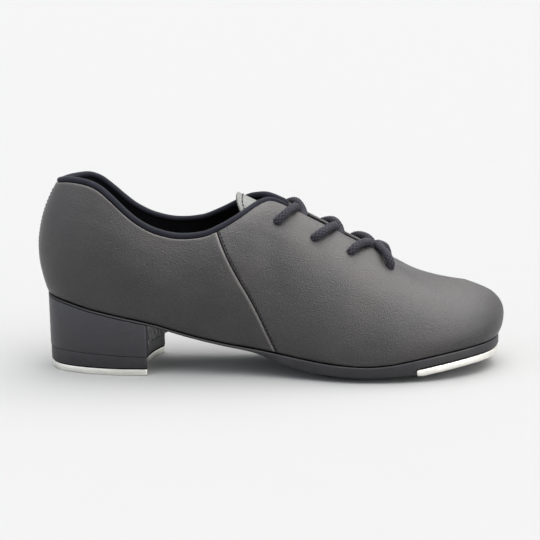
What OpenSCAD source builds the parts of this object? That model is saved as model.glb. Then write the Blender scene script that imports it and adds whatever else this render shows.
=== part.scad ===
/* [Upper] */
// Thickness of the upper leather
leather_t = 1.2; // [1:0.1:1.3]
// Diameter of the rolled binding along the collar
binding_d = 3.4; // [3:0.1:3.8]
// Diameter of the punched lace holes
hole_d = 5; // [4.8:0.1:5.4]
/* [Lace] */
// Diameter of the round braided lace
lace_d = 4.3; // [3.6:0.1:4.3]
// Length of each lace tip
aglet_len = 16; // [12:1:20]
/* [Bottom] */
// Thickness of the insole board
board_t = 2; // [1.5:0.1:2.2]
// Thickness of the padded sock liner
sock_t = 2; // [1.5:0.1:2.5]
// Thickness of the steel shank and of the filler beside it
shank_t = 1.2; // [1:0.1:1.3]
// Width of the steel shank
shank_w = 14; // [10:1:18]
/* [Taps] */
// Thickness of the toe tap
toe_tap_t = 4.4; // [3.6:0.1:4.6]
// Thickness of the heel tap
heel_tap_t = 3.8; // [3:0.1:4.4]
// Thickness of the dark board between a tap and the sole or lift
tap_board_t = 0.6; // [0.4:0.1:0.8]
// Shank diameter of the tap screws
screw_d = 3; // [2.5:0.5:3.5]
// Head diameter of the tap screws
screw_head_d = 6; // [5:0.5:7]
/* [Heel] */
// Radius of the hollow front face of the heel
breast_r = 65; // [55:5:90]
// Diameter of the nails that hold the heel block
nail_d = 2.4; // [2:0.2:3]

/* [Hidden] */

// The shoe points along +X and stands on z = 0. It is a right shoe: its outer side is -Y.
// w runs once round the shoe, 0 at the back of the heel, up the outer side to 1 at the
// toe, and back along the inner side to 2. t runs up the upper from the sole to the top.
heel_x = -126.4;
toe_x = 129;
// Half breadths of the sole line at each eighth of w, outer side and then inner side
SOLE_Y = [0, -15.5, -25, -27, -31, -42, -37, -20, 4, 25, 39, 38, 24, 25.5, 25, 15.5];
// Height of the line where the upper meets the sole: [x, z]
SOLE_Z = [[-127, 43.5], [-115, 41], [-100, 37.3], [-85, 34.2], [-65, 29.8], [-45, 24],
          [-25, 19.3], [-5, 15.9], [10, 13.2], [25, 11], [40, 9.6], [55, 9.2], [68, 10.2],
          [80, 12.2], [95, 14.6], [110, 16.3], [130, 17.4]];
// Thickness of the outsole edge: [x, thickness]
OUTSOLE_T = [[-128, 1.4], [-20, 1.6], [-9, 2], [2, 4], [10, 5.6], [20, 6.6], [45, 6.2],
             [60, 6.3], [72, 7.2], [80, 8.2], [86, 9.5], [100, 9.7], [131, 9.7]];
// Height of the underside of the rubber pad: [x, z]
PAD_Z = [[12, 5.5], [20, 2.6], [30, 0.5], [37, 0], [58, 0], [66, 0.7], [79, 3.1]];
// Thickness of the outsole above the toe tap
toe_sole_t = 4.7;
// The top line from the heel, the edge of the facing and the ridge of the toe:
// [s, [x, half breadth, z]], where s is w on the outer side
TOP = [[-0.08, [-116.6, -9.5, 107.4]], [0, [-119.4, 0, 106.3]], [0.08, [-116.6, 9.5, 107.4]],
       [0.14, [-109, 17, 108.5]], [0.19, [-99, 22, 107.4]], [0.22, [-92.4, 24.3, 104.6]],
       [0.25, [-85.5, 26, 98.9]], [0.28, [-78, 27, 91.8]], [0.31, [-70.5, 27, 85.8]],
       [0.34, [-61.4, 27, 81.1]], [0.375, [-49, 27, 78.3]], [0.41, [-35, 27, 79.4]],
       [0.435, [-25.5, 26, 83.2]], [0.46, [-15.5, 22.5, 88.6]], [0.478, [-7.5, 17, 93.6]],
       [0.49, [-2.2, 12.3, 95.9]], [0.5, [1.8, 9.2, 96.3]], [0.512, [6.6, 7.8, 94.6]],
       [0.535, [14, 6.8, 91]], [0.58, [32, 5.6, 81.6]], [0.64, [51, 4.6, 71.4]],
       [0.69, [64.5, 3.6, 64.4]], [0.71, [69.2, 2.2, 61.2]], [0.72, [70.8, 0, 59.6]],
       [0.76, [77, 0, 56.1]], [0.82, [85.5, 0, 52.8]], [0.9, [95.5, 0, 50.6]],
       [1, [105, 0, 49.2]]];
// How the inner side's top line stands from the outer side's: [s, [x, y, z]]
TOP_INNER = [[0, [0, 0, 0]], [0.08, [0, 0, -1.5]], [0.14, [-3.5, 1.5, -2.9]],
             [0.2, [-6.5, 2, -1.8]], [0.3, [-7, 0, 0]], [0.44, [-4.5, 0, 0.3]],
             [0.48, [-4.5, 0, 0.5]], [0.5, [-2, 0, 0.6]], [0.53, [0, 0, 0]], [1, [0, 0, 0]]];
throat_s = 0.72;
// How far the middle line leans to the inner side: [x, y]
MIDDLE_Y = [[-130, 0], [40, 0], [70, 1], [105, 4], [130, 5]];
// Handles that bend the side wall: [s, [out at sole, up at sole, out at top, up at top]]
WALL = [[-0.12, [7, 22, 10, -22]], [0, [7.5, 20, 13, -20]], [0.12, [7, 22, 10, -22]],
        [0.25, [5, 24, 8, -24]], [0.375, [5, 20, 7, -20]], [0.45, [5, 24, 13, -16]],
        [0.5, [6, 30, 18, -8]], [0.62, [5, 18, 24, -4]], [0.72, [5, 15, 24, -1.5]],
        [0.85, [7, 14, 22, -3]], [1, [9, 16, 23, -3.5]]];
// Side seam between vamp and quarter: s at the sole and at the top
SEAM_S = [0.508, 0.43];
// How far the seam bows back from a straight line
seam_bow = 0.009;
seam_gap_s = 0.0005;
// Rows of facets up the wall and columns of facets along it
ROWS = [0, 0.08, 0.18, 0.3, 0.42, 0.54, 0.66, 0.77, 0.89, 1];
row_n = len(ROWS) - 1;
quarter_n = 18;
facing_n = 13;
toe_n = 9;
vamp_n = facing_n + toe_n;
throat_share = (throat_s - SEAM_S[1])/(1 - SEAM_S[1]);
// Depths of the layers of the upper below its outer face
stay_in = leather_t + 0.12;
stay_out = stay_in + 0.6;
lining_in = stay_out + 0.12;
lining_out = lining_in + 0.6;
// First column of the toe puff, last of the heel counter, and rows that they cover
puff_col = 18;
counter_col = 9;
counter_row = 6;
stay_row = 6;

// Lace holes: [s, t] of each, from the throat to the ankle
HOLES = [[0.695, 0.83], [0.624, 0.825], [0.57, 0.81], [0.514, 0.805]];
// How far the lace's bar over the throat bows towards the ankle, along w
bar_s = 0.02;
// How far each pass has slanted along w where it comes over its hole
slant_s = 0.006;
punch_in = 7;
punch_out = 4;
lace_r = lace_d/2;
lace_rise = lace_r + 0.35;
lace_dip = lining_out + lace_r + 0.25;
tail_depth = lace_dip + 0.4;
tail_gap = lace_r + 0.3;
// Routes of the two free ends of the lace: [s, t, extra depth] down the inside of the wall,
// and then [x, distance to the side, extra height] along the sock liner to the tips
WALL_TAIL = [[0.507, 0.71, 0.8], [0.503, 0.65, 0.6], [0.497, 0.57, 0.3], [0.489, 0.48, 0],
             [0.48, 0.4, 0], [0.469, 0.33, 0.5]];
SOCK_TAIL = [[-20, 20.8, 4], [-30, 20, 1], [-42, 19.3, 0], [-54, 18.8, 0], [-66, 18.5, 0],
             [-76, 18.4, 0]];

// The tongue: [x, [z of its middle, half breadth, fall of its edges per mm squared]]
TONGUE = [[-18, [100, 16, 0.044]], [-8, [95.1, 14, 0.046]], [6, [87.9, 11.4, 0.05]],
          [25, [77.1, 14.8, 0.041]], [47, [65.5, 16, 0.029]], [62, [57.7, 15.5, 0.023]],
          [70, [54.7, 14.5, 0.018]], [77, [52.3, 13.5, 0.014]]];
tongue_back = -17.5;
tongue_front = 74;
tongue_corner = 5;
tongue_n = 14;
tongue_m = 8;
tongue_lining_t = 0.8;

// Bottom pieces
shoe_width = 90;
sole_out = 0.4;
edge_in = lining_out + 0.35;
board_z = shank_t + 0.2;
sock_z = board_z + board_t + 0.1;
shank_x = [-78, 20];
filler_x = [26, 112];
filler_in = 13;
pad_in = 10;
// The toe tap's hollow rear edge: its x at half breadth tap_rear_y, and its radius
tap_rear_x = 80.5;
tap_rear_y = 40;
tap_rear_r = 60;
tap_from_w = 0.7;
tap_span = [78, 132];
heel_front_w = 0.345;
heel_span = [-129, -55];
// Height of the joint between heel block and lift, at the back and at the front
block_z = [[-128, 13.1], [-60, 10.6]];
lift_z = heel_tap_t + tap_board_t;
// Middle of the hollow front face of the heel on the floor plan
breast = [-6.2, -5.2];
TOE_SCREWS = [[92, -25], [93, 28], [117, 4]];
HEEL_SCREWS = [[-79, -17], [-78, 18], [-113, 0]];
screw_rim = 0.5;
screw_tip = 2;
screw_sunk_toe = 0.5;
screw_sunk_heel = 0.2;
toe_screw_len = 8;
heel_screw_len = 17;
HEEL_NAILS = [[-113, 8], [-113, -8], [-96, 16], [-96, -16], [-84, 0]];
nail_len = 17;
nail_head_d = 5;
nail_head_t = 0.8;
// Spans of the long bottom pieces along X
board_span = [-125, 128];
sole_span = [-128, 131];
pad_span = [13, 79];
// How far pieces are set in from the sole line, or stand out from it below 0
sock_in = edge_in + 0.3;
block_in = -0.3;
heel_tap_in = 0.6;
heel_board_in = 1.4;
toe_board_in = 1;
// Play round screws and nails, and past their tips
loose = 0.12;
tip_room = 0.3;
nail_sunk = 0.6;
// Gaps between stacked pieces: glue, a joint of the heel, a metal face, a layer of the insole
glue = 0.15;
joint = 0.05;
touch = 0.02;
layer_gap = 0.1;
// How far a cutting shape runs past what it cuts, and a small step along w, t, f or v
clear = 4;
e = 0.002;

function mix(a, b, f) = a + (b - a)*f;
function unit(v) = v/norm(v);
function wrap(k, n) = (k%n + n)%n;

// Smooth curve through the knots [position, value]
function along(knots, s, i = 0) =
    (i < len(knots) - 2 && s > knots[i + 1][0]) ? along(knots, s, i + 1) : span(knots, s, i);
function lean(knots, i) =
    let (a = max(i - 1, 0), b = min(i + 1, len(knots) - 1))
    (knots[b][1] - knots[a][1])/(knots[b][0] - knots[a][0]);
function span(knots, s, i) =
    let (h = knots[i + 1][0] - knots[i][0], f = (s - knots[i][0])/h, g = 1 - f)
    knots[i][1]*(1 + 2*f)*g*g + lean(knots, i)*h*f*g*g
    + knots[i + 1][1]*f*f*(3 - 2*f) - lean(knots, i + 1)*h*f*f*g;
// Smooth closed curve through values evenly spaced round w
function around(v, w) =
    let (n = len(v), p = w*n/2, k = floor(p), f = p - k,
         a = v[wrap(k - 1, n)], b = v[wrap(k, n)], c = v[wrap(k + 1, n)], d = v[wrap(k + 2, n)])
    b + f*((c - a)/2 + f*(a - 2.5*b + 2*c - d/2 + f*(1.5*(b - c) + (d - a)/2)));

// The line where the upper meets the sole, and its outward direction on the floor plan
function plan_x(w) = mix(heel_x, toe_x, (1 - cos(180*w))/2);
function sole_z(x) = along(SOLE_Z, x);
function sole_point(w) = [plan_x(w), around(SOLE_Y, w), sole_z(plan_x(w))];
function outward(w) =
    let (d = sole_point(w + e) - sole_point(w - e)) unit([d[1], -d[0], 0]);
function edge_point(w, inset) =
    let (p = sole_point(w) - outward(w)*inset) [p[0], p[1]];

// The upper's outer face
function top_point(w) =
    let (v = w > 1 ? w - 2 : w, q = along(TOP, abs(v)), p = v < 0 ? q + along(TOP_INNER, -v) : q)
    [p[0], (v < 0 ? p[1] : -p[1]) + along(MIDDLE_Y, p[0]), p[2]];
function skin(w, t) =
    let (p = sole_point(w), q = top_point(w), o = outward(w), v = w > 1 ? w - 2 : w,
         h = along(WALL, abs(v)), g = 1 - t)
    p*g*g*g + (p + o*h[0] + [0, 0, h[1]])*3*t*g*g
    + (q + o*h[2] + [0, 0, h[3]])*3*t*t*g + q*t*t*t;
function skin_normal(w, t) =
    let (u = min(max(t, e), 0.985))
    unit(cross(skin(w + e, u) - skin(w - e, u), skin(w, u + e) - skin(w, u - e)));
function under(w, t, depth) = skin(w, t) - skin_normal(w, t)*depth;

// Columns of the vamp count from the outer seam (0) over the toe (vamp_n) to the inner seam
function seam_s(t) = mix(SEAM_S[0], SEAM_S[1], t) - seam_bow*sin(180*t);
function vamp_share(i) =
    i <= facing_n ? throat_share*i/facing_n : mix(throat_share, 1, (i - facing_n)/toe_n);
function vamp_w(i, t) =
    let (k = min(i, 2*vamp_n - i), s = mix(seam_s(t) + seam_gap_s, 1, vamp_share(k)))
    i > vamp_n ? 2 - s : s;
// Columns of the quarters count from the back of the heel (0) to the seam, the inner side's
// are below 0. A quarter on its own starts clear of the seam down the back.
function quarter_w(i, t, start) =
    let (s = max(start, (seam_s(t) - seam_gap_s)*abs(i)/quarter_n)) i < 0 ? 2 - s : s;

// A sheet with two skins, c columns by r rows of points on each. With joins of 0 or more,
// the top points from that column on are shared with the mirror column across the middle.
module sheet(out, inn, c, r, joins = -1) {
    n = c*r;
    function id(i, j) = (j == r - 1 && i > (c - 1)/2 && c - 1 - i >= joins && joins >= 0)
        ? (c - 1 - i)*r + j : i*r + j;
    skins = [for (i = [0:c - 2]) for (j = [0:r - 2])
        let (a = id(i, j), b = id(i + 1, j), d = id(i, j + 1), f = id(i + 1, j + 1))
        each [[a, b, f], [a, f, d], [n + a, n + f, n + b], [n + a, n + d, n + f]]];
    feet = [for (i = [0:c - 2]) let (a = id(i, 0), b = id(i + 1, 0))
        each [[a, n + b, b], [a, n + a, n + b]]];
    rims = [for (i = [0:c - 2]) if (joins < 0 || i < joins || i > c - 2 - joins)
        let (a = id(i, r - 1), b = id(i + 1, r - 1)) each [[a, b, n + b], [a, n + b, n + a]]];
    ends = [for (j = [0:r - 2])
        let (a = id(0, j), d = id(0, j + 1), b = id(c - 1, j), f = id(c - 1, j + 1))
        each [[a, d, n + d], [a, n + d, n + a], [b, n + f, f], [b, n + b, n + f]]];
    polyhedron(concat(out, inn), [for (f = concat(skins, feet, rims, ends)) [f[2], f[1], f[0]]]);
}

// Part of the vamp's grid between two depths
module vamp_sheet(col, row, depth_a, depth_b) {
    c = 2*(vamp_n - col) + 1;
    r = row_n + 1 - row;
    a = [for (i = [0:c - 1]) for (j = [0:r - 1])
        under(vamp_w(col + i, ROWS[row + j]), ROWS[row + j], depth_a)];
    b = [for (i = [0:c - 1]) for (j = [0:r - 1])
        under(vamp_w(col + i, ROWS[row + j]), ROWS[row + j], depth_b)];
    sheet(a, b, c, r, max(facing_n - col, 0));
}

// Part of one facing, side 1 is the outer one
module facing_sheet(side, depth_a, depth_b) {
    c = facing_n - 1;
    r = row_n + 1 - stay_row;
    function w(i, j) = let (v = vamp_w(i + 1, ROWS[stay_row + j])) side > 0 ? v : 2 - v;
    cols = side > 0 ? [0:c - 1] : [c - 1:-1:0];
    a = [for (i = cols) for (j = [0:r - 1]) under(w(i, j), ROWS[stay_row + j], depth_a)];
    b = [for (i = cols) for (j = [0:r - 1]) under(w(i, j), ROWS[stay_row + j], depth_b)];
    sheet(a, b, c, r);
}

// Part of the quarters' grid between two columns and up to one row. A small part of a
// column for 0 keeps the inner quarter on its own side.
module quarter_sheet(from, to, row, depth_a, depth_b, start = 0) {
    c = to - from + 1;
    function w(i, j) = quarter_w(i == 0 && to == 0 ? -e : i, ROWS[j], start);
    a = [for (i = [from:to]) for (j = [0:row]) under(w(i, j), ROWS[j], depth_a)];
    b = [for (i = [from:to]) for (j = [0:row]) under(w(i, j), ROWS[j], depth_b)];
    sheet(a, b, c, row + 1);
}

// Punched holes through the facings
function hole_w(k, side) = side > 0 ? HOLES[k][0] : 2 - HOLES[k][0];
module along_normal(p, n) {
    translate(p) rotate([0, acos(n[2]), atan2(n[1], n[0])]) children();
}
module holes(sides) {
    for (side = sides, k = [0:3])
        along_normal(skin(hole_w(k, side), HOLES[k][1]), skin_normal(hole_w(k, side), HOLES[k][1]))
            translate([0, 0, -punch_in]) cylinder(h = punch_in + punch_out, d = hole_d, $fn = 20);
}

// A tube swept along a route: each ring is turned no more than the route turns
function heading(route, i) =
    unit(route[min(i + 1, len(route) - 1)] - route[max(i - 1, 0)]);
function upright(v) = abs(v[2]) > 0.9 ? [1, 0, 0] : [0, 0, 1];
module tube(route, r, sides) {
    n = len(route);
    turns = [for (i = 0, u = unit(cross(heading(route, 0), upright(heading(route, 0))));
                  i < n;
                  i = i + 1, d = heading(route, min(i, n - 1)), u = unit(u - d*(d*u))) u];
    points = [for (i = [0:n - 1]) for (k = [0:sides - 1])
        let (u = turns[i], v = cross(heading(route, i), u), a = 360*k/sides)
        route[i] + (u*cos(a) + v*sin(a))*r];
    walls = [for (i = [0:n - 2]) for (k = [0:sides - 1])
        let (a = i*sides + k, b = i*sides + (k + 1)%sides)
        each [[a, b, b + sides], [a, b + sides, a + sides]]];
    caps = [[for (k = [sides - 1:-1:0]) k], [for (k = [0:sides - 1]) (n - 1)*sides + k]];
    polyhedron(points, [for (f = concat(walls, caps)) [for (k = [len(f) - 1:-1:0]) f[k]]]);
}

// The binding stands on the top edges of the leather and the lining, from one facing to the
// other. binding_end is w at its end on the outer side.
binding_end = 0.526;
binding_gap = 0.3;
function binding_point(w) =
    let (edge = unit(top_point(w + e) - top_point(w - e)), up = skin(w, 1) - skin(w, 0.98),
         rise = unit(up - edge*(up*edge)))
    under(w, 1, lining_out/2) + rise*(binding_d/2 + binding_gap);
binding_route = [for (k = [-30:30]) binding_point(binding_end*sin(3*k))];

// The lace: from a bar over the throat each half dives into its hole, crosses under the
// facings, comes up through the gap, and runs over the other facing into the next hole
function lace_s(k, f) = mix(HOLES[k][0], HOLES[min(k + 1, 3)][0], f);
function at_side(s, side) = side > 0 ? s : 2 - s;
function over_point(s, t, side, lift) = under(at_side(s, side), t, -lift);
function through_hole(k, side) =
    let (s = HOLES[k][0], t = HOLES[k][1])
    [over_point(k == 0 ? s - slant_s : s + slant_s, t + 0.04, side, lace_rise),
     over_point(s, t, side, 0.3),
     over_point(s, t, side, -lining_out + 0.3),
     k < 3 ? over_point(s - 0.003, t + 0.03, side, -lace_dip)
           : over_point(s - 0.003, t - 0.04, side, -tail_depth)];
function crossing(k, side) =
    let (low = over_point(lace_s(k, 0.3), 0.97, side, -lace_dip),
         high = over_point(lace_s(k, 0.62), 0.985, -side, lace_rise),
         shift = side > 0 ? lace_r + 0.3 : -lace_r - 0.3)
    [low, (low + high)/2 + [shift, 0, 0], high];
function half_lace(side) = [for (k = [0:3])
    let (here = k%2 == 0 ? side : -side)
    each concat(through_hole(k, here), k < 3 ? crossing(k, here) : [])];
bar_point = (top_point(HOLES[0][0] - bar_s) + top_point(2 - HOLES[0][0] + bar_s))/2
    + [0, 0, lace_rise + 0.4];
function reversed(v) = [for (i = [len(v) - 1:-1:0]) v[i]];
function bar_foot(side) = over_point(HOLES[0][0] - bar_s/2, 0.93, side, lace_rise);
lace_route = concat(reversed(half_lace(-1)), [bar_foot(-1), bar_point, bar_foot(1)], half_lace(1));
// A free end starts face to face with the lace. side 1 is the tail on the outer side.
function tail_route(side) =
    let (half = half_lace(-side), end = half[len(half) - 1], way = unit(end - half[len(half) - 2]))
    concat([end + way*0.05, end + way*0.5],
           [for (p = WALL_TAIL) over_point(p[0], p[1], side, -tail_depth - p[2])],
           [for (p = SOCK_TAIL) [p[0], -side*p[1], sole_z(p[0]) + sock_z + sock_t + tail_gap + p[2]]]);

// The tongue: f runs from its free back end to the throat, v across it from -1 to 1
function tongue_skin(f, v) =
    let (trim = tongue_corner*pow(v, 4), x = mix(tongue_back + trim, tongue_front - trim, f),
         p = along(TONGUE, x), y = v*p[1])
    [x, y + along(MIDDLE_Y, x), p[0] - p[2]*y*y];
function tongue_normal(f, v) =
    unit(cross(tongue_skin(f + e, v) - tongue_skin(f - e, v),
               tongue_skin(f, v + e) - tongue_skin(f, v - e)));
function tongue_grid(depth) = [for (i = [0:tongue_n]) for (j = [0:tongue_m])
    let (f = i/tongue_n, v = -1 + 2*j/tongue_m) tongue_skin(f, v) - tongue_normal(f, v)*depth];
module tongue_sheet(depth_a, depth_b) {
    sheet(tongue_grid(depth_a), tongue_grid(depth_b), tongue_n + 1, tongue_m + 1);
}

// Bottom pieces: an outline on the floor plan, cut to a side view between two curves
function steps(from, to, n) = [for (k = [0:n]) mix(from, to, k/n)];
module outline(from_w, to_w, inset, n = 48) {
    polygon([for (w = steps(from_w, to_w, n)) edge_point(w, inset)]);
}
module tall() {
    translate([0, 0, -5]) linear_extrude(height = 80) children();
}
module side_view(from_x, to_x, low, high, n = 32) {
    xs = steps(from_x, to_x, n);
    rotate([90, 0, 0]) linear_extrude(height = 2*shoe_width, center = true)
        polygon(concat([for (x = xs) [x, low(x)]], [for (x = reversed(xs)) [x, high(x)]]));
}
module plank(inset, from_x, to_x, low, high, n = 32) {
    intersection() {
        tall() outline(0, 1.96, inset);
        side_view(from_x, to_x, low, high, n);
    }
}
module heel_prism(inset, low, high) {
    difference() {
        intersection() {
            tall() outline(-heel_front_w, heel_front_w, inset, 28);
            side_view(heel_span[0], heel_span[1], low, high, 12);
        }
        tall() translate(breast) circle(r = breast_r, $fn = 90);
    }
}
module toe_prism(inset, low, high) {
    difference() {
        intersection() {
            tall() outline(tap_from_w, 2 - tap_from_w, inset, 32);
            side_view(tap_span[0], tap_span[1], low, high, 14);
        }
        tall()
            translate([tap_rear_x - sqrt(tap_rear_r*tap_rear_r - tap_rear_y*tap_rear_y), 0])
                circle(r = tap_rear_r, $fn = 90);
    }
}
outsole_low = function(x) sole_z(x) - along(OUTSOLE_T, x);
toe_board_high = function(x) sole_z(x) - toe_sole_t;
toe_tap_high = function(x) sole_z(x) - toe_sole_t - tap_board_t;
toe_tap_low = function(x) sole_z(x) - toe_sole_t - tap_board_t - toe_tap_t;

// Countersunk screw with its head down at z = 0
module screw(length) {
    r = screw_d/2;
    head = screw_head_d/2;
    difference() {
        rotate_extrude($fn = 32)
            polygon([[0, 0], [head, 0], [head, screw_rim], [r, screw_rim + head - r],
                     [r, length - screw_tip], [0.3, length], [0, length]]);
        for (turn = [0, 90])
            rotate(turn) cube([screw_head_d*0.6, 0.9, 2.2], center = true);
    }
}
module screw_hole(length) {
    r = screw_d/2 + loose/2;
    head = screw_head_d/2 + loose/2;
    rotate_extrude($fn = 32)
        polygon([[0, -clear], [head, -clear], [head, screw_rim], [r, screw_rim + head - r],
                 [r, length], [0, length]]);
}
function toe_screw_point(p) = [p[0], p[1], toe_tap_low(p[0]) + screw_sunk_toe];
function heel_screw_point(p) = [p[0], p[1], screw_sunk_heel];
module toe_screw_holes() {
    for (p = TOE_SCREWS) translate(toe_screw_point(p)) screw_hole(toe_screw_len + tip_room);
}
module heel_screw_holes() {
    for (p = HEEL_SCREWS) translate(heel_screw_point(p)) screw_hole(heel_screw_len + tip_room);
}
function nail_top(p) = sole_z(p[0]) + board_z + board_t - nail_sunk;
module nail_holes() {
    for (p = HEEL_NAILS)
        translate([p[0], p[1], nail_top(p)]) {
            translate([0, 0, -nail_len - tip_room]) cylinder(h = nail_len, d = nail_d + loose, $fn = 24);
            translate([0, 0, -nail_head_t]) cylinder(h = clear, d = nail_head_d + loose, $fn = 24);
        }
}

module vamp() {
    color([0.2, 0.2, 0.21])
        difference() {
            vamp_sheet(0, 0, 0, leather_t);
            holes([1, -1]);
        }
}
module outer_quarter() {
    color([0.22, 0.22, 0.23]) quarter_sheet(0, quarter_n, row_n, 0, leather_t, seam_gap_s);
}
module inner_quarter() {
    color([0.22, 0.22, 0.23]) quarter_sheet(-quarter_n, 0, row_n, 0, leather_t, seam_gap_s);
}
module vamp_lining() {
    color([0.1, 0.1, 0.11])
        difference() {
            vamp_sheet(0, 0, lining_in, lining_out);
            holes([1, -1]);
        }
}
module quarter_lining() {
    color([0.1, 0.1, 0.11]) quarter_sheet(-quarter_n, quarter_n, row_n, lining_in, lining_out);
}
module toe_puff() {
    color([0.45, 0.4, 0.33]) vamp_sheet(puff_col, 1, stay_in, stay_out);
}
module heel_counter() {
    color([0.45, 0.4, 0.33])
        quarter_sheet(-counter_col, counter_col, counter_row, stay_in, stay_out);
}
module outer_facing_stay() {
    color([0.35, 0.35, 0.35])
        difference() {
            facing_sheet(1, stay_in, stay_out);
            holes([1]);
        }
}
module inner_facing_stay() {
    color([0.35, 0.35, 0.35])
        difference() {
            facing_sheet(-1, stay_in, stay_out);
            holes([-1]);
        }
}
module collar_binding() {
    color([0.08, 0.08, 0.1]) tube(binding_route, binding_d/2, 8);
}
module tongue() {
    color([0.24, 0.24, 0.25]) tongue_sheet(0, leather_t);
}
module tongue_lining() {
    color([0.1, 0.1, 0.11]) tongue_sheet(leather_t + 0.1, leather_t + 0.1 + tongue_lining_t);
}
module lace() {
    color([0.07, 0.07, 0.09]) tube(lace_route, lace_r, 8);
}
module lace_tail_outer() {
    color([0.07, 0.07, 0.09]) tube(tail_route(1), lace_r, 8);
}
module lace_tail_inner() {
    color([0.07, 0.07, 0.09]) tube(tail_route(-1), lace_r, 8);
}
module lace_aglets() {
    color([0.1, 0.1, 0.1])
        for (side = [1, -1]) {
            route = tail_route(side);
            end = route[len(route) - 1];
            along_normal(end, heading(route, len(route) - 1))
                cylinder(h = aglet_len, d = lace_d - 0.9, $fn = 20);
        }
}
module insole_board() {
    color([0.62, 0.5, 0.36])
        difference() {
            plank(edge_in, board_span[0], board_span[1], function(x) sole_z(x) + board_z,
                  function(x) sole_z(x) + board_z + board_t);
            nail_holes();
        }
}
module sock_liner() {
    color([0.12, 0.12, 0.13])
        plank(sock_in, board_span[0], board_span[1], function(x) sole_z(x) + sock_z,
              function(x) sole_z(x) + sock_z + sock_t);
}
module shank() {
    color([0.7, 0.7, 0.72])
        intersection() {
            translate([shank_x[0], -shank_w/2, 0]) cube([shank_x[1] - shank_x[0], shank_w, 60]);
            side_view(shank_x[0] - 1, shank_x[1] + 1, function(x) sole_z(x) + layer_gap,
                      function(x) sole_z(x) + layer_gap + shank_t, 16);
        }
}
module forepart_filler() {
    color([0.75, 0.62, 0.45])
        plank(filler_in, filler_x[0], filler_x[1], function(x) sole_z(x) + layer_gap,
              function(x) sole_z(x) + layer_gap + shank_t, 14);
}
module outsole() {
    color([0.14, 0.14, 0.15])
        difference() {
            plank(-sole_out, sole_span[0], sole_span[1], outsole_low, function(x) sole_z(x));
            toe_prism(-clear, function(x) -clear, toe_board_high);
            toe_screw_holes();
            nail_holes();
        }
}
module forepart_pad() {
    color([0.1, 0.1, 0.1])
        plank(pad_in, pad_span[0], pad_span[1], function(x) max(along(PAD_Z, x), 0),
              function(x) outsole_low(x) - glue, 24);
}
module toe_tap_board() {
    color([0.05, 0.05, 0.05])
        difference() {
            toe_prism(toe_board_in, toe_tap_high, function(x) toe_board_high(x) - touch);
            toe_screw_holes();
        }
}
module toe_tap() {
    color([0.85, 0.85, 0.83])
        difference() {
            toe_prism(-sole_out, toe_tap_low, function(x) toe_tap_high(x) - touch);
            toe_screw_holes();
        }
}
module toe_tap_screws() {
    color([0.6, 0.6, 0.62])
        for (p = TOE_SCREWS) translate(toe_screw_point(p)) screw(toe_screw_len);
}
module heel_block() {
    color([0.16, 0.16, 0.17])
        difference() {
            heel_prism(block_in, function(x) along(block_z, x), function(x) outsole_low(x) - glue);
            heel_screw_holes();
            nail_holes();
        }
}
module heel_lift() {
    color([0.13, 0.13, 0.14])
        difference() {
            heel_prism(0, function(x) lift_z + touch, function(x) along(block_z, x) - joint);
            heel_screw_holes();
        }
}
module heel_tap_board() {
    color([0.05, 0.05, 0.05])
        difference() {
            heel_prism(heel_board_in, function(x) heel_tap_t + touch, function(x) lift_z);
            heel_screw_holes();
        }
}
module heel_tap() {
    color([0.85, 0.85, 0.83])
        difference() {
            heel_prism(heel_tap_in, function(x) 0, function(x) heel_tap_t);
            heel_screw_holes();
        }
}
module heel_tap_screws() {
    color([0.6, 0.6, 0.62])
        for (p = HEEL_SCREWS) translate(heel_screw_point(p)) screw(heel_screw_len);
}
module heel_nails() {
    color([0.55, 0.55, 0.57])
        for (p = HEEL_NAILS)
            translate([p[0], p[1], nail_top(p)]) {
                translate([0, 0, -nail_head_t]) cylinder(h = nail_head_t, d = nail_head_d, $fn = 24);
                translate([0, 0, -nail_len]) cylinder(h = nail_len - nail_head_t, d = nail_d, $fn = 24);
            }
}

vamp();
outer_quarter();
inner_quarter();
vamp_lining();
quarter_lining();
toe_puff();
heel_counter();
outer_facing_stay();
inner_facing_stay();
collar_binding();
tongue();
tongue_lining();
lace();
lace_tail_outer();
lace_tail_inner();
lace_aglets();
insole_board();
sock_liner();
shank();
forepart_filler();
outsole();
forepart_pad();
toe_tap_board();
toe_tap();
toe_tap_screws();
heel_block();
heel_lift();
heel_tap_board();
heel_tap();
heel_tap_screws();
heel_nails();
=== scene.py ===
"""Looks of a leather tap shoe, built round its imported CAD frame. Lengths are in millimetres
until a mesh is made, in the CAD frame: +X from heel to toe, outer side -Y, floor at z = 0."""

import math

import bpy
import numpy as np
from mathutils import Matrix, Vector, geometry, noise


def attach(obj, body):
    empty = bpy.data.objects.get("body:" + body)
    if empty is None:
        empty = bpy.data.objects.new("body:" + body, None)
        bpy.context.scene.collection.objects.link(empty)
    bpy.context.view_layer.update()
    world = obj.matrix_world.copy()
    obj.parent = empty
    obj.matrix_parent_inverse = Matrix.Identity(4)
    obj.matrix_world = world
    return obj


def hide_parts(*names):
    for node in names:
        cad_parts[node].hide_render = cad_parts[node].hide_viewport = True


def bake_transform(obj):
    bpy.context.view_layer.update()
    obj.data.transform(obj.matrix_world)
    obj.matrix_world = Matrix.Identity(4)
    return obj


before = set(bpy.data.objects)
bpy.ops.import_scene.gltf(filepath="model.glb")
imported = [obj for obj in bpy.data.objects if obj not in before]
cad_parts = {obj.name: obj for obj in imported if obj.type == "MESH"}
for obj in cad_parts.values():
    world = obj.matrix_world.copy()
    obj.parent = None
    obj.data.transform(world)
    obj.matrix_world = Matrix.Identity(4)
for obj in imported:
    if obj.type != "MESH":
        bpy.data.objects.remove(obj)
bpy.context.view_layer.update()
MM = 0.001

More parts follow.
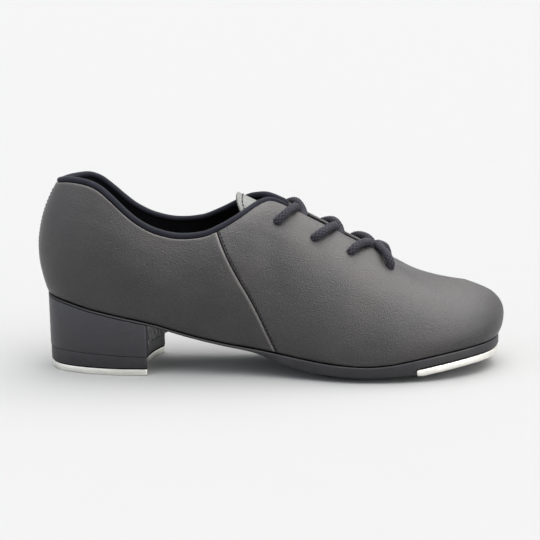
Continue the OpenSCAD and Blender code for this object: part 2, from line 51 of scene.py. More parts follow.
# ---------------------------------------------------------------- sizes shared with the CAD
HEEL_X, TOE_X = -126.4, 129.0
SOLE_Y = np.array([0, -15.5, -25, -27, -31, -42, -37, -20, 4, 25, 39, 38, 24, 25.5, 25, 15.5])
SOLE_Z = [(-127, 43.5), (-115, 41), (-100, 37.3), (-85, 34.2), (-65, 29.8), (-45, 24),
          (-25, 19.3), (-5, 15.9), (10, 13.2), (25, 11), (40, 9.6), (55, 9.2), (68, 10.2),
          (80, 12.2), (95, 14.6), (110, 16.3), (130, 17.4)]
OUTSOLE_T = [(-128, 1.4), (-20, 1.6), (-9, 2), (2, 4), (10, 5.6), (20, 6.6), (45, 6.2),
             (60, 6.3), (72, 7.2), (80, 8.2), (86, 9.5), (100, 9.7), (131, 9.7)]
PAD_Z = [(12, 5.5), (20, 2.6), (30, 0.5), (37, 0), (58, 0), (66, 0.7), (79, 3.1)]
TOP = [(-0.08, (-116.6, -9.5, 107.4)), (0, (-119.4, 0, 106.3)), (0.08, (-116.6, 9.5, 107.4)),
       (0.14, (-109, 17, 108.5)), (0.19, (-99, 22, 107.4)), (0.22, (-92.4, 24.3, 104.6)),
       (0.25, (-85.5, 26, 98.9)), (0.28, (-78, 27, 91.8)), (0.31, (-70.5, 27, 85.8)),
       (0.34, (-61.4, 27, 81.1)), (0.375, (-49, 27, 78.3)), (0.41, (-35, 27, 79.4)),
       (0.435, (-25.5, 26, 83.2)), (0.46, (-15.5, 22.5, 88.6)), (0.478, (-7.5, 17, 93.6)),
       (0.49, (-2.2, 12.3, 95.9)), (0.5, (1.8, 9.2, 96.3)), (0.512, (6.6, 7.8, 94.6)),
       (0.535, (14, 6.8, 91)), (0.58, (32, 5.6, 81.6)), (0.64, (51, 4.6, 71.4)),
       (0.69, (64.5, 3.6, 64.4)), (0.71, (69.2, 2.2, 61.2)), (0.72, (70.8, 0, 59.6)),
       (0.76, (77, 0, 56.1)), (0.82, (85.5, 0, 52.8)), (0.9, (95.5, 0, 50.6)),
       (1, (105, 0, 49.2))]
TOP_INNER = [(0, (0, 0, 0)), (0.08, (0, 0, -1.5)), (0.14, (-3.5, 1.5, -2.9)),
             (0.2, (-6.5, 2, -1.8)), (0.3, (-7, 0, 0)), (0.44, (-4.5, 0, 0.3)),
             (0.48, (-4.5, 0, 0.5)), (0.5, (-2, 0, 0.6)), (0.53, (0, 0, 0)), (1, (0, 0, 0))]
MIDDLE_Y = [(-130, 0), (40, 0), (70, 1), (105, 4), (130, 5)]
WALL = [(-0.12, (7, 22, 10, -22)), (0, (7.5, 20, 13, -20)), (0.12, (7, 22, 10, -22)),
        (0.25, (5, 24, 8, -24)), (0.375, (5, 20, 7, -20)), (0.45, (5, 24, 13, -16)),
        (0.5, (6, 30, 18, -8)), (0.62, (5, 18, 24, -4)), (0.72, (5, 15, 24, -1.5)),
        (0.85, (7, 14, 22, -3)), (1, (9, 16, 23, -3.5))]
SEAM_S, SEAM_BOW, SEAM_GAP = (0.508, 0.43), 0.009, 0.0005
THROAT_S = 0.72
LEATHER_T, LINING_IN, LINING_OUT = 1.2, 2.04, 2.64
BOARD_Z, BOARD_T, SOCK_Z, SOCK_T = 1.4, 2.0, 3.5, 2.0
EDGE_IN = LINING_OUT + 0.35
BAR_S, SLANT_S = 0.02, 0.006
HOLES = [(0.695, 0.83), (0.624, 0.825), (0.57, 0.81), (0.514, 0.805)]
LACE_R, HOLE_R = 2.15, 2.5
LACE_RISE, LACE_DIP = LACE_R + 0.35, LINING_OUT + LACE_R + 0.25
TAIL_DEPTH, TAIL_GAP = LACE_DIP + 0.4, LACE_R + 0.3
WALL_TAIL = [(0.507, 0.71, 0.8), (0.503, 0.65, 0.6), (0.497, 0.57, 0.3), (0.489, 0.48, 0),
             (0.48, 0.4, 0), (0.469, 0.33, 0.5)]
SOCK_TAIL = [(-20, 20.8, 4), (-30, 20, 1), (-42, 19.3, 0), (-54, 18.8, 0), (-66, 18.5, 0),
             (-76, 18.4, 0)]
AGLET_LEN = 16.0
TONGUE = [(-18, (100, 16, 0.044)), (-8, (95.1, 14, 0.046)), (6, (87.9, 11.4, 0.05)),
          (25, (77.1, 14.8, 0.041)), (47, (65.5, 16, 0.029)), (62, (57.7, 15.5, 0.023)),
          (70, (54.7, 14.5, 0.018)), (77, (52.3, 13.5, 0.014))]
TONGUE_X, TONGUE_CORNER, TONGUE_LINING_T = (-17.5, 73), 5.0, 0.8
BINDING_D, BINDING_END, BINDING_GAP = 3.4, 0.526, 0.3
SOLE_OUT, TOE_SOLE_T, BOARD_GAP = 0.4, 4.7, 0.15
TAP_BOARD_T, TOE_TAP_T, HEEL_TAP_T = 0.6, 4.4, 3.8
BREAST, BREAST_R = (-6.2, -5.2), 65.0
TAP_REAR_X, TAP_REAR_Y, TAP_REAR_R, TAP_W = 80.5, 40.0, 60.0, 0.7
TAP_CENTRE_X = TAP_REAR_X - math.sqrt(TAP_REAR_R**2 - TAP_REAR_Y**2)
BLOCK_Z = [(-128, 13.1), (-60, 10.6)]
TOE_SCREWS = [(92, -25), (93, 28), (117, 4)]
HEEL_SCREWS = [(-79, -17), (-78, 18), (-113, 0)]
SCREW_HEAD_R, SCREW_SHANK_R = 3.06, 1.56

# ---------------------------------------------------------------- curves and the upper's skin
EPS = 0.002


def along(knots, s):
    """The CAD's smooth curve through knots (position, value), at every s."""
    pos = np.array([k[0] for k in knots], float)
    val = np.array([np.atleast_1d(k[1]) for k in knots], float)
    s = np.asarray(s, float)
    n = len(pos)
    i = np.clip(np.searchsorted(pos, s) - 1, 0, n - 2)
    lo, hi = np.maximum(np.arange(n) - 1, 0), np.minimum(np.arange(n) + 1, n - 1)
    lean = (val[hi] - val[lo]) / (pos[hi] - pos[lo])[:, None]
    h = (pos[i + 1] - pos[i])[..., None]
    f = (s - pos[i])[..., None] / h
    g = 1 - f
    out = (val[i] * (1 + 2 * f) * g * g + lean[i] * h * f * g * g
           + val[i + 1] * f * f * (3 - 2 * f) - lean[i + 1] * h * f * f * g)
    return out[..., 0] if val.shape[1] == 1 else out


def around(v, w):
    n = len(v)
    p = np.asarray(w) * n / 2
    k = np.floor(p).astype(int)
    f = p - k
    a, b, c, d = (v[(k + j) % n] for j in (-1, 0, 1, 2))
    return b + f * ((c - a) / 2 + f * (a - 2.5 * b + 2 * c - d / 2 + f * (1.5 * (b - c) + (d - a) / 2)))


def unit(v):
    return v / np.maximum(np.linalg.norm(v, axis=-1, keepdims=True), 1e-12)


def mix(a, b, f):
    return a + (b - a) * f


def smooth(a, b, v):
    f = np.clip((np.asarray(v, float) - a) / (b - a), 0, 1)
    return f * f * (3 - 2 * f)


def plan_x(w):
    return HEEL_X + (TOE_X - HEEL_X) * (1 - np.cos(np.pi * np.asarray(w))) / 2


def sole_z(x):
    return along(SOLE_Z, x)


def sole_point(w):
    x = plan_x(w)
    return np.stack([x, around(SOLE_Y, w), sole_z(x)], -1)


def outward(w):
    d = sole_point(w + EPS) - sole_point(w - EPS)
    return unit(np.stack([d[..., 1], -d[..., 0], 0 * d[..., 0]], -1))


def top_point(w):
    v = np.where(w > 1, w - 2, w)
    p = along(TOP, abs(v))
    p = np.where((v < 0)[..., None], p + along(TOP_INNER, abs(v)), p)
    y = np.where(v < 0, p[..., 1], -p[..., 1]) + along(MIDDLE_Y, p[..., 0])
    return np.stack([p[..., 0], y, p[..., 2]], -1)


def skin(w, t):
    w, t = np.broadcast_arrays(np.asarray(w, float), np.asarray(t, float))
    p, q, o = sole_point(w), top_point(w), outward(w)
    h = along(WALL, abs(np.where(w > 1, w - 2, w)))
    g, t, up = (1 - t)[..., None], t[..., None], np.array([0, 0, 1.0])
    return (p * g**3 + (p + o * h[..., 0:1] + up * h[..., 1:2]) * 3 * t * g * g
            + (q + o * h[..., 2:3] + up * h[..., 3:4]) * 3 * t * t * g + q * t**3)


def skin_normal(w, t):
    u = np.clip(t, EPS, 0.985)
    return unit(np.cross(skin(w + EPS, u) - skin(w - EPS, u), skin(w, u + EPS) - skin(w, u - EPS)))


def under(w, t, depth):
    w, t = np.asarray(w, float), np.asarray(t, float)
    return skin(w, t) - skin_normal(w, t) * np.asarray(depth, float)[..., None]


def seam_s(t):
    return mix(SEAM_S[0], SEAM_S[1], t) - SEAM_BOW * np.sin(np.pi * t)


def at_side(s, side):
    return s if side > 0 else 2 - s


def spline(points, step):
    """Centripetal Catmull-Rom curve through the points, resampled evenly."""
    p = np.asarray(points, float)
    p = np.vstack([2 * p[0] - p[1], p, 2 * p[-1] - p[-2]])
    out = []
    for a, b, c, d in zip(p[:-3], p[1:-2], p[2:-1], p[3:]):
        t = np.cumsum([0] + [max(np.linalg.norm(v) ** 0.5, 1e-4) for v in (b - a, c - b, d - c)])
        u = np.linspace(t[1], t[2], 24, endpoint=False)[:, None]
        ab, bc, cd = (mix(q, r, (u - i) / (j - i)) for q, r, i, j in
                      ((a, b, t[0], t[1]), (b, c, t[1], t[2]), (c, d, t[2], t[3])))
        out.append(mix(mix(ab, bc, (u - t[0]) / (t[2] - t[0])),
                       mix(bc, cd, (u - t[1]) / (t[3] - t[1])), (u - t[1]) / (t[2] - t[1])))
    return resample(np.vstack(out + [p[-2:-1]]), step)


def resample(path, step):
    far = np.concatenate([[0], np.cumsum(np.linalg.norm(np.diff(path, axis=0), axis=1))])
    at = np.linspace(0, far[-1], max(int(round(far[-1] / step)), 2) + 1)
    return np.stack([np.interp(at, far, path[:, k]) for k in range(3)], -1)


# ---------------------------------------------------------------- materials
# Pale colour painted along the cut edges at the seams and the top: a painted highlight where the rolled
# edges catch the light.
EDGE_HIGHLIGHT = (0.105, 0.1, 0.096)


def tree(name, color, roughness, **sockets):
    """A Principled material. Values in sockets are the same all over the surface."""
    m = bpy.data.materials.new(name)
    m.use_nodes = True
    n = m.node_tree
    shader = n.nodes["Principled BSDF"]
    shader.inputs["Base Color"].default_value = (*color, 1)
    shader.inputs["Roughness"].default_value = roughness
    for key, value in sockets.items():
        shader.inputs[key.replace("_", " ")].default_value = value
    return m, n, shader


def node(n, kind, inputs=(), **props):
    """A shader node with its inputs linked or set."""
    made = n.nodes.new("ShaderNode" + kind)
    for key, value in props.items():
        setattr(made, key, value)
    for key, value in dict(inputs).items():
        if isinstance(value, bpy.types.NodeSocket):
            n.links.new(value, made.inputs[key])
        else:
            made.inputs[key].default_value = value
    return made


def rest_coordinate(n, name="rest"):
    """A vector kept on a piece's points. "rest" is where they lie in millimetres before any bend."""
    return node(n, "Attribute", attribute_name=name).outputs["Vector"]


def object_coordinate(n):
    scaled = node(n, "Mapping", {"Vector": node(n, "TexCoord").outputs["Object"],
                                 "Scale": (1 / MM,) * 3})
    return scaled.outputs[0]


def stretch(n, vector, scale, turn=(0, 0, 0)):
    return node(n, "Mapping", {"Vector": vector, "Scale": scale, "Rotation": turn}).outputs[0]


def fuzz(n, vector, size, detail=3.0, rough=0.5):
    """Noise with patches of about size millimetres."""
    made = node(n, "TexNoise", {"Vector": vector, "Scale": 1 / size, "Detail": detail, "Roughness": rough})
    return made.outputs["Fac"]


def math_node(n, operation, a, b=0.0):
    return node(n, "Math", {0: a, 1: b}, operation=operation).outputs[0]


def weighed(n, a, a_share, b, b_share):
    return math_node(n, "ADD", math_node(n, "MULTIPLY", a, a_share), math_node(n, "MULTIPLY", b, b_share))


def remap(n, value, low, high, to_low=0.0, to_high=1.0):
    return node(n, "MapRange", {"Value": value, "From Min": low, "From Max": high,
                                "To Min": to_low, "To Max": to_high}).outputs[0]


def two_tone(n, shader, factor, dark, light):
    made = node(n, "Mix", {"Factor": factor, "A": (*dark, 1), "B": (*light, 1)}, data_type="RGBA")
    n.links.new(made.outputs["Result"], shader.inputs["Base Color"])
    return made


def relief(n, shader, layers):
    """Bump layers, each (height, strength, depth in millimetres)."""
    normal = None
    for height, strength, depth in layers:
        made = node(n, "Bump", {"Height": height, "Strength": strength, "Distance": depth * MM})
        if normal is not None:
            n.links.new(normal, made.inputs["Normal"])
        normal = made.outputs["Normal"]
    n.links.new(normal, shader.inputs["Normal"])


def leather(name, dark, light, roughness, grain, depth=1.0, **sockets):
    """Grained leather. An attribute on a piece's points paints a pale line along its cut edges: a painted
    highlight where the rolled edges catch the light.
    """
    m, n, shader = tree(name, dark, roughness, **sockets)
    v = rest_coordinate(n)
    drift = node(n, "TexNoise", {"Vector": v, "Scale": 0.9}).outputs["Color"]
    wobble = node(n, "VectorMath", {0: v, 1: drift}, operation="ADD").outputs[0]
    cells = node(n, "TexVoronoi", {"Vector": wobble, "Scale": 1 / grain, "Randomness": 1.0},
                 feature="SMOOTH_F1").outputs["Distance"]
    pores, fold = fuzz(n, v, grain * 0.45, 2.0), fuzz(n, stretch(n, v, (0.22, 0.22, 0.5)), 1.6, 4.0, 0.6)
    broad = fuzz(n, v, 30.0, 4.0, 0.55)
    grained = two_tone(n, shader, remap(n, weighed(n, broad, 0.6, cells, 0.5), 0.3, 0.8), dark, light)
    # Mixes in the pale edge colour where the attribute says so: a painted highlight along the cut edges.
    edge_highlight = node(n, "SeparateXYZ", {"Vector": rest_coordinate(n, "edge_highlight")}).outputs[0]
    edged = node(n, "Mix", {"Factor": edge_highlight, "A": grained.outputs["Result"], "B": (*EDGE_HIGHLIGHT, 1)},
                 data_type="RGBA")
    n.links.new(edged.outputs["Result"], shader.inputs["Base Color"])
    n.links.new(remap(n, math_node(n, "ADD", cells, math_node(n, "MULTIPLY", broad, 0.5)), 0.2, 1.1,
                      roughness - 0.09, roughness + 0.12), shader.inputs["Roughness"])
    relief(n, shader, [(fold, 0.3, 0.35 * depth), (cells, 1.0, 0.3 * depth), (pores, 0.9, 0.26 * depth)])
    return m


def plain(name, dark, light, roughness, size, bump=0.25, fleck=0.3, **sockets):
    """Board, rubber, plastic or stacked leather: mottled colour over a fine grain."""
    m, n, shader = tree(name, dark, roughness, **sockets)
    v = object_coordinate(n)
    broad, fine = fuzz(n, v, size * 12, 4.0), fuzz(n, v, size, 5.0, 0.65)
    two_tone(n, shader, remap(n, weighed(n, broad, 1 - fleck, fine, fleck), 0.3, 0.7), dark, light)
    n.links.new(remap(n, fine, 0.25, 0.75, roughness - 0.06, roughness + 0.08), shader.inputs["Roughness"])
    relief(n, shader, [(broad, 0.3, size), (fine, bump, size * 0.3)])
    return m


def cloth(name, dark, light, roughness, pitch, depth=0.1, vector=rest_coordinate, **sockets):
    """Woven cloth: two sets of threads that pass over each other."""
    m, n, shader = tree(name, dark, roughness, **sockets)
    v = vector(n)
    parts = node(n, "SeparateXYZ", {"Vector": v}).outputs
    across = [math_node(n, "SINE", math_node(n, "MULTIPLY", parts[k], math.pi / pitch)) for k in (0, 2)]
    over = math_node(n, "MULTIPLY", *across)
    threads = math_node(n, "ABSOLUTE", over)
    lint = fuzz(n, v, pitch * 0.6, 4.0, 0.7)
    # The colour follows the threads' relief, darker in the hollows between them: painted shade; the lint
    # adds tone that differs at random.
    two_tone(n, shader, math_node(n, "MULTIPLY", math_node(n, "ADD", threads, lint), 0.6), dark, light)
    relief(n, shader, [(threads, 0.6, depth), (lint, 0.4, depth * 0.7)])
    return m


def strand_cloth(name, dark, light, roughness, **sockets):
    """Yarn on a tube whose points carry (length along, turn round it in yarns, height)."""
    m, n, shader = tree(name, dark, roughness, **sockets)
    v, rest = rest_coordinate(n, "strand"), rest_coordinate(n)
    parts = node(n, "SeparateXYZ", {"Vector": v}).outputs
    fibre = fuzz(n, stretch(n, v, (2.2, 5.5, 0)), 1.0, 3.0, 0.6)
    lint, broad = fuzz(n, rest, 0.35, 3.0, 0.7), fuzz(n, rest, 9.0)
    # Paler on the yarns' crests and darker in the hollows between them, following their height: painted
    # shade; lint and broad add tone that differs at random.
    tone = math_node(n, "ADD", weighed(n, parts[2], 0.75, lint, 0.4), math_node(n, "MULTIPLY", broad, 0.3))
    two_tone(n, shader, remap(n, tone, 0.5, 1.3), dark, light)
    relief(n, shader, [(fibre, 0.6, 0.16), (lint, 0.4, 0.1)])
    return m


def metal(name, dark, light, roughness):
    """Cast or drawn metal, rubbed along its length."""
    m, n, shader = tree(name, light, roughness, Metallic=1.0)
    v = object_coordinate(n)
    cast, broad = fuzz(n, v, 0.9, 6.0, 0.7), fuzz(n, v, 14.0, 3.0)
    rubbed = fuzz(n, stretch(n, v, (0.05, 1.6, 1.6), (0, 0, 0.5)), 1.0, 3.0)
    two_tone(n, shader, remap(n, weighed(n, broad, 0.6, rubbed, 0.4), 0.3, 0.62), dark, light)
    n.links.new(remap(n, math_node(n, "ADD", cast, rubbed), 0.7, 1.3, roughness - 0.08, roughness + 0.12),
                shader.inputs["Roughness"])
    relief(n, shader, [(rubbed, 0.25, 0.03), (cast, 0.25, 0.04)])
    return m


UPPER = leather("UpperLeather", (0.0055, 0.0058, 0.0078), (0.026, 0.0225, 0.0205), 0.38, 0.64,
                Specular_IOR_Level=0.5, Coat_Weight=0.12, Coat_Roughness=0.28)
TONGUE_SKIN = leather("TongueLeather", (0.07, 0.073, 0.07), (0.15, 0.153, 0.146), 0.5, 1.3)
HEEL_SKIN = leather("HeelLeather", (0.008, 0.0078, 0.0105), (0.017, 0.0165, 0.021), 0.42, 0.6, 0.5,
                    Coat_Weight=0.1, Coat_Roughness=0.3)
SOLE_EDGE = plain("SoleEdge", (0.005, 0.005, 0.0065), (0.014, 0.0137, 0.0165), 0.42, 0.5, 0.5,
                  Specular_IOR_Level=0.42)
LIFT_EDGE = plain("LiftEdge", (0.006, 0.006, 0.0078), (0.014, 0.0135, 0.0165), 0.48, 0.4, 0.5,
                  Specular_IOR_Level=0.42)
PAD = plain("PadRubber", (0.012, 0.012, 0.013), (0.026, 0.026, 0.027), 0.72, 0.7, 0.6)
# The tap boards are black fibre board; their near-black colour with almost no reflection also paints the
# shade in the line between tap and sole: painted shade.
TAP_BOARD_AND_SHADE = plain("TapBoardAndShade", (0.0015, 0.0015, 0.002), (0.004, 0.004, 0.0045), 0.85, 0.5,
                    Specular_IOR_Level=0.04)
# Near-black colour with almost no reflection for a tube laid in the groove where the upper meets the
# outsole: painted shade.
GROOVE_SHADE = plain("FeatherGrooveShade", (0.0005, 0.0005, 0.0006), (0.0015, 0.0015, 0.0016), 0.9, 0.5,
               Specular_IOR_Level=0.02)
LINING = cloth("LiningFabric", (0.0015, 0.0015, 0.002), (0.007, 0.007, 0.009), 0.92, 0.45,
               Specular_IOR_Level=0.08)
SOCK = cloth("SockFabric", (0.003, 0.003, 0.004), (0.012, 0.012, 0.014), 0.9, 0.6, 0.14,
             Specular_IOR_Level=0.08)
KNIT = strand_cloth("BindingKnit", (0.002, 0.002, 0.0035), (0.028, 0.029, 0.042), 0.85,
                    Specular_IOR_Level=0.12, Sheen_Weight=0.04)
BRAID = strand_cloth("LaceBraid", (0.002, 0.002, 0.003), (0.06, 0.058, 0.074), 0.85,
                     Specular_IOR_Level=0.15, Sheen_Weight=0.03)
THREAD = plain("Thread", (0.006, 0.006, 0.008), (0.02, 0.02, 0.024), 0.7, 0.15, 0.5,
               Specular_IOR_Level=0.08)
PLASTIC = plain("AgletPlastic", (0.012, 0.012, 0.013), (0.02, 0.02, 0.021), 0.28, 0.6, 0.08)
FIBRE = plain("InsoleFibre", (0.24, 0.17, 0.1), (0.36, 0.27, 0.17), 0.85, 0.6, 0.5)
CORK = plain("FillerCork", (0.2, 0.12, 0.06), (0.42, 0.28, 0.15), 0.9, 1.1, 0.8, fleck=0.7)
STAY = cloth("StayCloth", (0.004, 0.004, 0.005), (0.014, 0.014, 0.016), 0.9, 0.5,
             vector=object_coordinate, Specular_IOR_Level=0.08)
STIFFENER = plain("Stiffener", (0.2, 0.18, 0.15), (0.3, 0.27, 0.22), 0.85, 0.5, 0.5)
ALUMINIUM = metal("TapAluminium", (0.66, 0.65, 0.605), (0.83, 0.82, 0.77), 0.42)
STEEL = metal("FastenerSteel", (0.4, 0.4, 0.41), (0.6, 0.6, 0.61), 0.3)


# ---------------------------------------------------------------- making pieces
def piece(name, points, faces, material, body="shoe", replaces=(), bend=None, sharp=None,
          extra=None, ride=True):
    mesh = bpy.data.meshes.new(name)
    mesh.from_pydata((np.asarray(points, float) * MM).tolist(), [], [tuple(map(int, f)) for f in faces])
    mesh.validate()
    obj = bpy.data.objects.new(name, mesh)
    bpy.context.scene.collection.objects.link(obj)
    for key, values in (extra or {}).items():
        mesh.attributes.new(key, "FLOAT_VECTOR", "POINT").data.foreach_set(
            "vector", np.asarray(values, np.float32).ravel())
    finish_piece(obj, material, body, replaces, bend, sharp, ride)
    return obj


def finish_piece(obj, material, body="shoe", replaces=(), bend=None, sharp=None, ride=True):
    mesh = obj.data
    mesh.materials.clear()
    mesh.materials.append(material)
    co = np.empty(len(mesh.vertices) * 3, np.float32)
    mesh.vertices.foreach_get("co", co)
    if "rest" not in mesh.attributes:
        mesh.attributes.new("rest", "FLOAT_VECTOR", "POINT")
    mesh.attributes["rest"].data.foreach_set("vector", co / MM)
    mesh.shade_smooth()
    if sharp is not None:
        mesh.set_sharp_from_angle(angle=math.radians(sharp))
    if bend:
        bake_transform(obj)
    elif ride:
        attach(obj, body)
    if replaces:
        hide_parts(*replaces)


def cut(obj, cutters):
    """Takes closed cutter meshes, each (points, faces), out of obj, and keeps the result as its mesh."""
    for points, faces in cutters:
        mesh = bpy.data.meshes.new("cutter")
        mesh.from_pydata((np.asarray(points) * MM).tolist(), [], [tuple(map(int, f)) for f in faces])
        tool = bpy.data.objects.new("cutter", mesh)
        bpy.context.scene.collection.objects.link(tool)
        change = obj.modifiers.new("cut", "BOOLEAN")
        change.object, change.operation, change.solver = tool, "DIFFERENCE", "EXACT"
        bpy.context.view_layer.update()
        made = bpy.data.meshes.new_from_object(obj.evaluated_get(bpy.context.evaluated_depsgraph_get()))
        obj.modifiers.clear()
        obj.data = made
        bpy.data.objects.remove(tool)


def ring_faces(rings, sides):
    """Quads between rings of points, each ring closed on itself."""
    return [(i * sides + k, i * sides + (k + 1) % sides, (i + 1) * sides + (k + 1) % sides,
             (i + 1) * sides + k) for i in range(rings - 1) for k in range(sides)]


def shell(outer, inner, joins=None):
    """Closed sheet between two grids (columns, rows, 3). With joins, the top points of the columns
    from that one on are shared with the mirror column, as over the ridge of the toe."""
    c, r = outer.shape[:2]
    outer, inner = outer.copy(), inner.copy()
    n = c * r
    ids = np.arange(n).reshape(c, r)
    if joins is not None:
        for skin_grid in (outer, inner):
            for i in range(joins, c // 2 + 1):
                middle = (skin_grid[i, -1] + skin_grid[c - 1 - i, -1]) / 2
                skin_grid[i, -1] = skin_grid[c - 1 - i, -1] = middle
        for i in range(c // 2 + 1, c - joins):
            ids[i, -1] = ids[c - 1 - i, -1]
    faces = []
    for i in range(c - 1):
        for j in range(r - 1):
            q = (ids[i, j], ids[i + 1, j], ids[i + 1, j + 1], ids[i, j + 1])
            faces += [q, tuple(n + k for k in q[::-1])]
        faces.append((ids[i + 1, 0], ids[i, 0], n + ids[i, 0], n + ids[i + 1, 0]))
        if joins is None or i < joins or i > c - 2 - joins:
            faces.append((ids[i, -1], ids[i + 1, -1], n + ids[i + 1, -1], n + ids[i, -1]))
    for j in range(r - 1):
        faces.append((ids[0, j], ids[0, j + 1], n + ids[0, j + 1], n + ids[0, j]))
        faces.append((ids[-1, j + 1], ids[-1, j], n + ids[-1, j], n + ids[-1, j + 1]))
    faces = [tuple(dict.fromkeys(f)) for f in faces]
    used = np.unique([k for f in faces for k in f])
    lookup = np.full(2 * n, -1)
    lookup[used] = np.arange(len(used))
    points = np.vstack([outer.reshape(-1, 3), inner.reshape(-1, 3)])[used]
    return points, [tuple(lookup[list(f)]) for f in faces if len(f) > 2], used


PLAIN_YARNS, CAP_RISE = 6, 0.35


def tube(path, radius, sides, braid=0, pitch=9.0, bumps=0.0, cap=True):
    """Tube along an even path, with an over-and-under braid of so many yarns each way in its
    surface. radius may vary along it. Gives points, faces and (along, round, height)."""
    n = len(path)
    head = unit(np.gradient(path, axis=0))
    u = np.empty_like(path)
    u[0] = unit(np.cross(head[0], [0, 0, 1.0] if abs(head[0][2]) < 0.9 else [1.0, 0, 0]))
    for i in range(1, n):
        u[i] = unit(u[i - 1] - head[i] * (head[i] @ u[i - 1]))
    v = np.cross(head, u)
    turn = np.arange(sides) * 2 * np.pi / sides
    far = np.concatenate([[0], np.cumsum(np.linalg.norm(np.diff(path, axis=0), axis=1))])
    height = np.zeros((n, sides))
    yarns = braid or PLAIN_YARNS
    if braid:
        a = braid * turn[None] / (2 * np.pi) + far[:, None] / pitch * braid
        b = braid * turn[None] / (2 * np.pi) - far[:, None] / pitch * braid
        fa, fb = a - np.floor(a), b - np.floor(b)
        over = (np.floor(a) + np.floor(b)) % 2 < 1
        first = np.sin(np.pi * fa) ** 0.6 * (0.45 + 0.55 * np.sin(np.pi * fb))
        second = np.sin(np.pi * fb) ** 0.6 * (0.45 + 0.55 * np.sin(np.pi * fa))
        height = np.where(over, first, second)
    size = np.broadcast_to(np.asarray(radius, float), (n,))[:, None] - bumps * (1 - height)
    points = (path[:, None] + u[:, None] * (np.cos(turn)[None] * size)[..., None]
              + v[:, None] * (np.sin(turn)[None] * size)[..., None])
    faces = ring_faces(n, sides)
    points = points.reshape(-1, 3)
    strand = np.stack(np.broadcast_arrays(far[:, None], turn[None] * yarns / (2 * np.pi), height), -1)
    strand = strand.reshape(-1, 3)
    if cap:
        for end, way in ((0, -1), (n - 1, 1)):
            ring = [len(points) + k for k in range(sides)]
            edge = points[end * sides:(end + 1) * sides]
            swell = head[end] * way * CAP_RISE
            points = np.vstack([points, mix(path[end], edge, 0.6) + swell, [path[end] + swell]])
            strand = np.vstack([strand, strand[end * sides:(end + 1) * sides], [strand[end * sides]]])
            for k in range(sides):
                a, b = end * sides + k, end * sides + (k + 1) % sides
                quad = (a, b, ring[(k + 1) % sides], ring[k])
                tip = (ring[k], ring[(k + 1) % sides], len(points) - 1)
                faces += [quad, tip] if way > 0 else [quad[::-1], tip[::-1]]
    return points, faces, strand


def plug(path, radius, sides):
    """A closed tube with flat ends, to cut holes with."""
    points, faces, _ = tube(path, radius, sides, cap=False)
    last = (len(path) - 1) * sides
    return points, faces + [tuple(range(sides - 1, -1, -1)), tuple(range(last, last + sides))]


# ---------------------------------------------------------------- camera and cords
CAMERA = {"distance": 900.0, "elevation": 12.5, "azimuth": 3.0, "roll": 0.9, "height": 54.7, "lens": 106.0}


def place_camera():
    el, az, roll = (math.radians(CAMERA[k]) for k in ("elevation", "azimuth", "roll"))
    right = Vector((math.cos(az), math.sin(az), 0))
    back = Vector((math.sin(az) * math.cos(el), -math.cos(az) * math.cos(el), math.sin(el)))
    up = back.cross(right)
    right, up = (right * math.cos(roll) - up * math.sin(roll), right * math.sin(roll) + up * math.cos(roll))
    data = bpy.data.cameras.new("Camera")
    data.lens, data.sensor_width, data.clip_end = CAMERA["lens"], 36, 100
    camera = bpy.data.objects.new("Camera", data)
    place = Vector((0, 0, CAMERA["height"] * MM)) + back * (CAMERA["distance"] * MM)
    camera.matrix_world = Matrix.Translation(place) @ Matrix((right, up, back)).transposed().to_4x4()
    bpy.context.scene.collection.objects.link(camera)
    bpy.context.scene.camera = camera


place_camera()


def over(s, t, side, lift):
    return under(np.array(at_side(s, side)), np.array(t), np.array(-lift))


def through_hole(k, side):
    """The lace's way over the edge of a hole and down through it."""
    s, t = HOLES[k]
    inside = (t - 0.04, -TAIL_DEPTH) if k == len(HOLES) - 1 else (t + 0.03, -LACE_DIP)
    last = over(s - 0.003, inside[0], side, inside[1])
    slanted = s + (SLANT_S if k else -SLANT_S)
    return [over(slanted, t + 0.04, side, LACE_RISE), over(s, t, side, 0.3),
            over(s, t, side, 0.3 - LINING_OUT), last]


def crossing(k, side):
    """From under one facing, through the gap, to over the other facing."""
    low = over(mix(HOLES[k][0], HOLES[k + 1][0], 0.3), 0.97, side, -LACE_DIP)
    high = over(mix(HOLES[k][0], HOLES[k + 1][0], 0.62), 0.985, -side, LACE_RISE)
    return [low, (low + high) / 2 + np.array([side * (LACE_R + 0.3), 0, 0]), high]


def half_lace(side):
    points = []
    for k in range(len(HOLES)):
        here = side if k % 2 == 0 else -side
        points += through_hole(k, here) + (crossing(k, here) if k < len(HOLES) - 1 else [])
    return points


def tail_route(side):
    """A free end: down inside the quarter, then back along the sock liner."""
    half = half_lace(-side)
    way = unit(half[-1] - half[-2])
    wall = [over(s, t, side, -TAIL_DEPTH - deeper) for s, t, deeper in WALL_TAIL]
    sock = [np.array([x, -side * y, sole_z(x) + SOCK_Z + SOCK_T + TAIL_GAP + up]) for x, y, up in SOCK_TAIL]
    return [half[-1] + way * 0.05] + wall + sock


BRAID_STYLE = {"sides": 36, "braid": 6, "pitch": 12.0, "bumps": 0.45}
BRAID_R, CORD_STEP = LACE_R + 0.22, 0.45


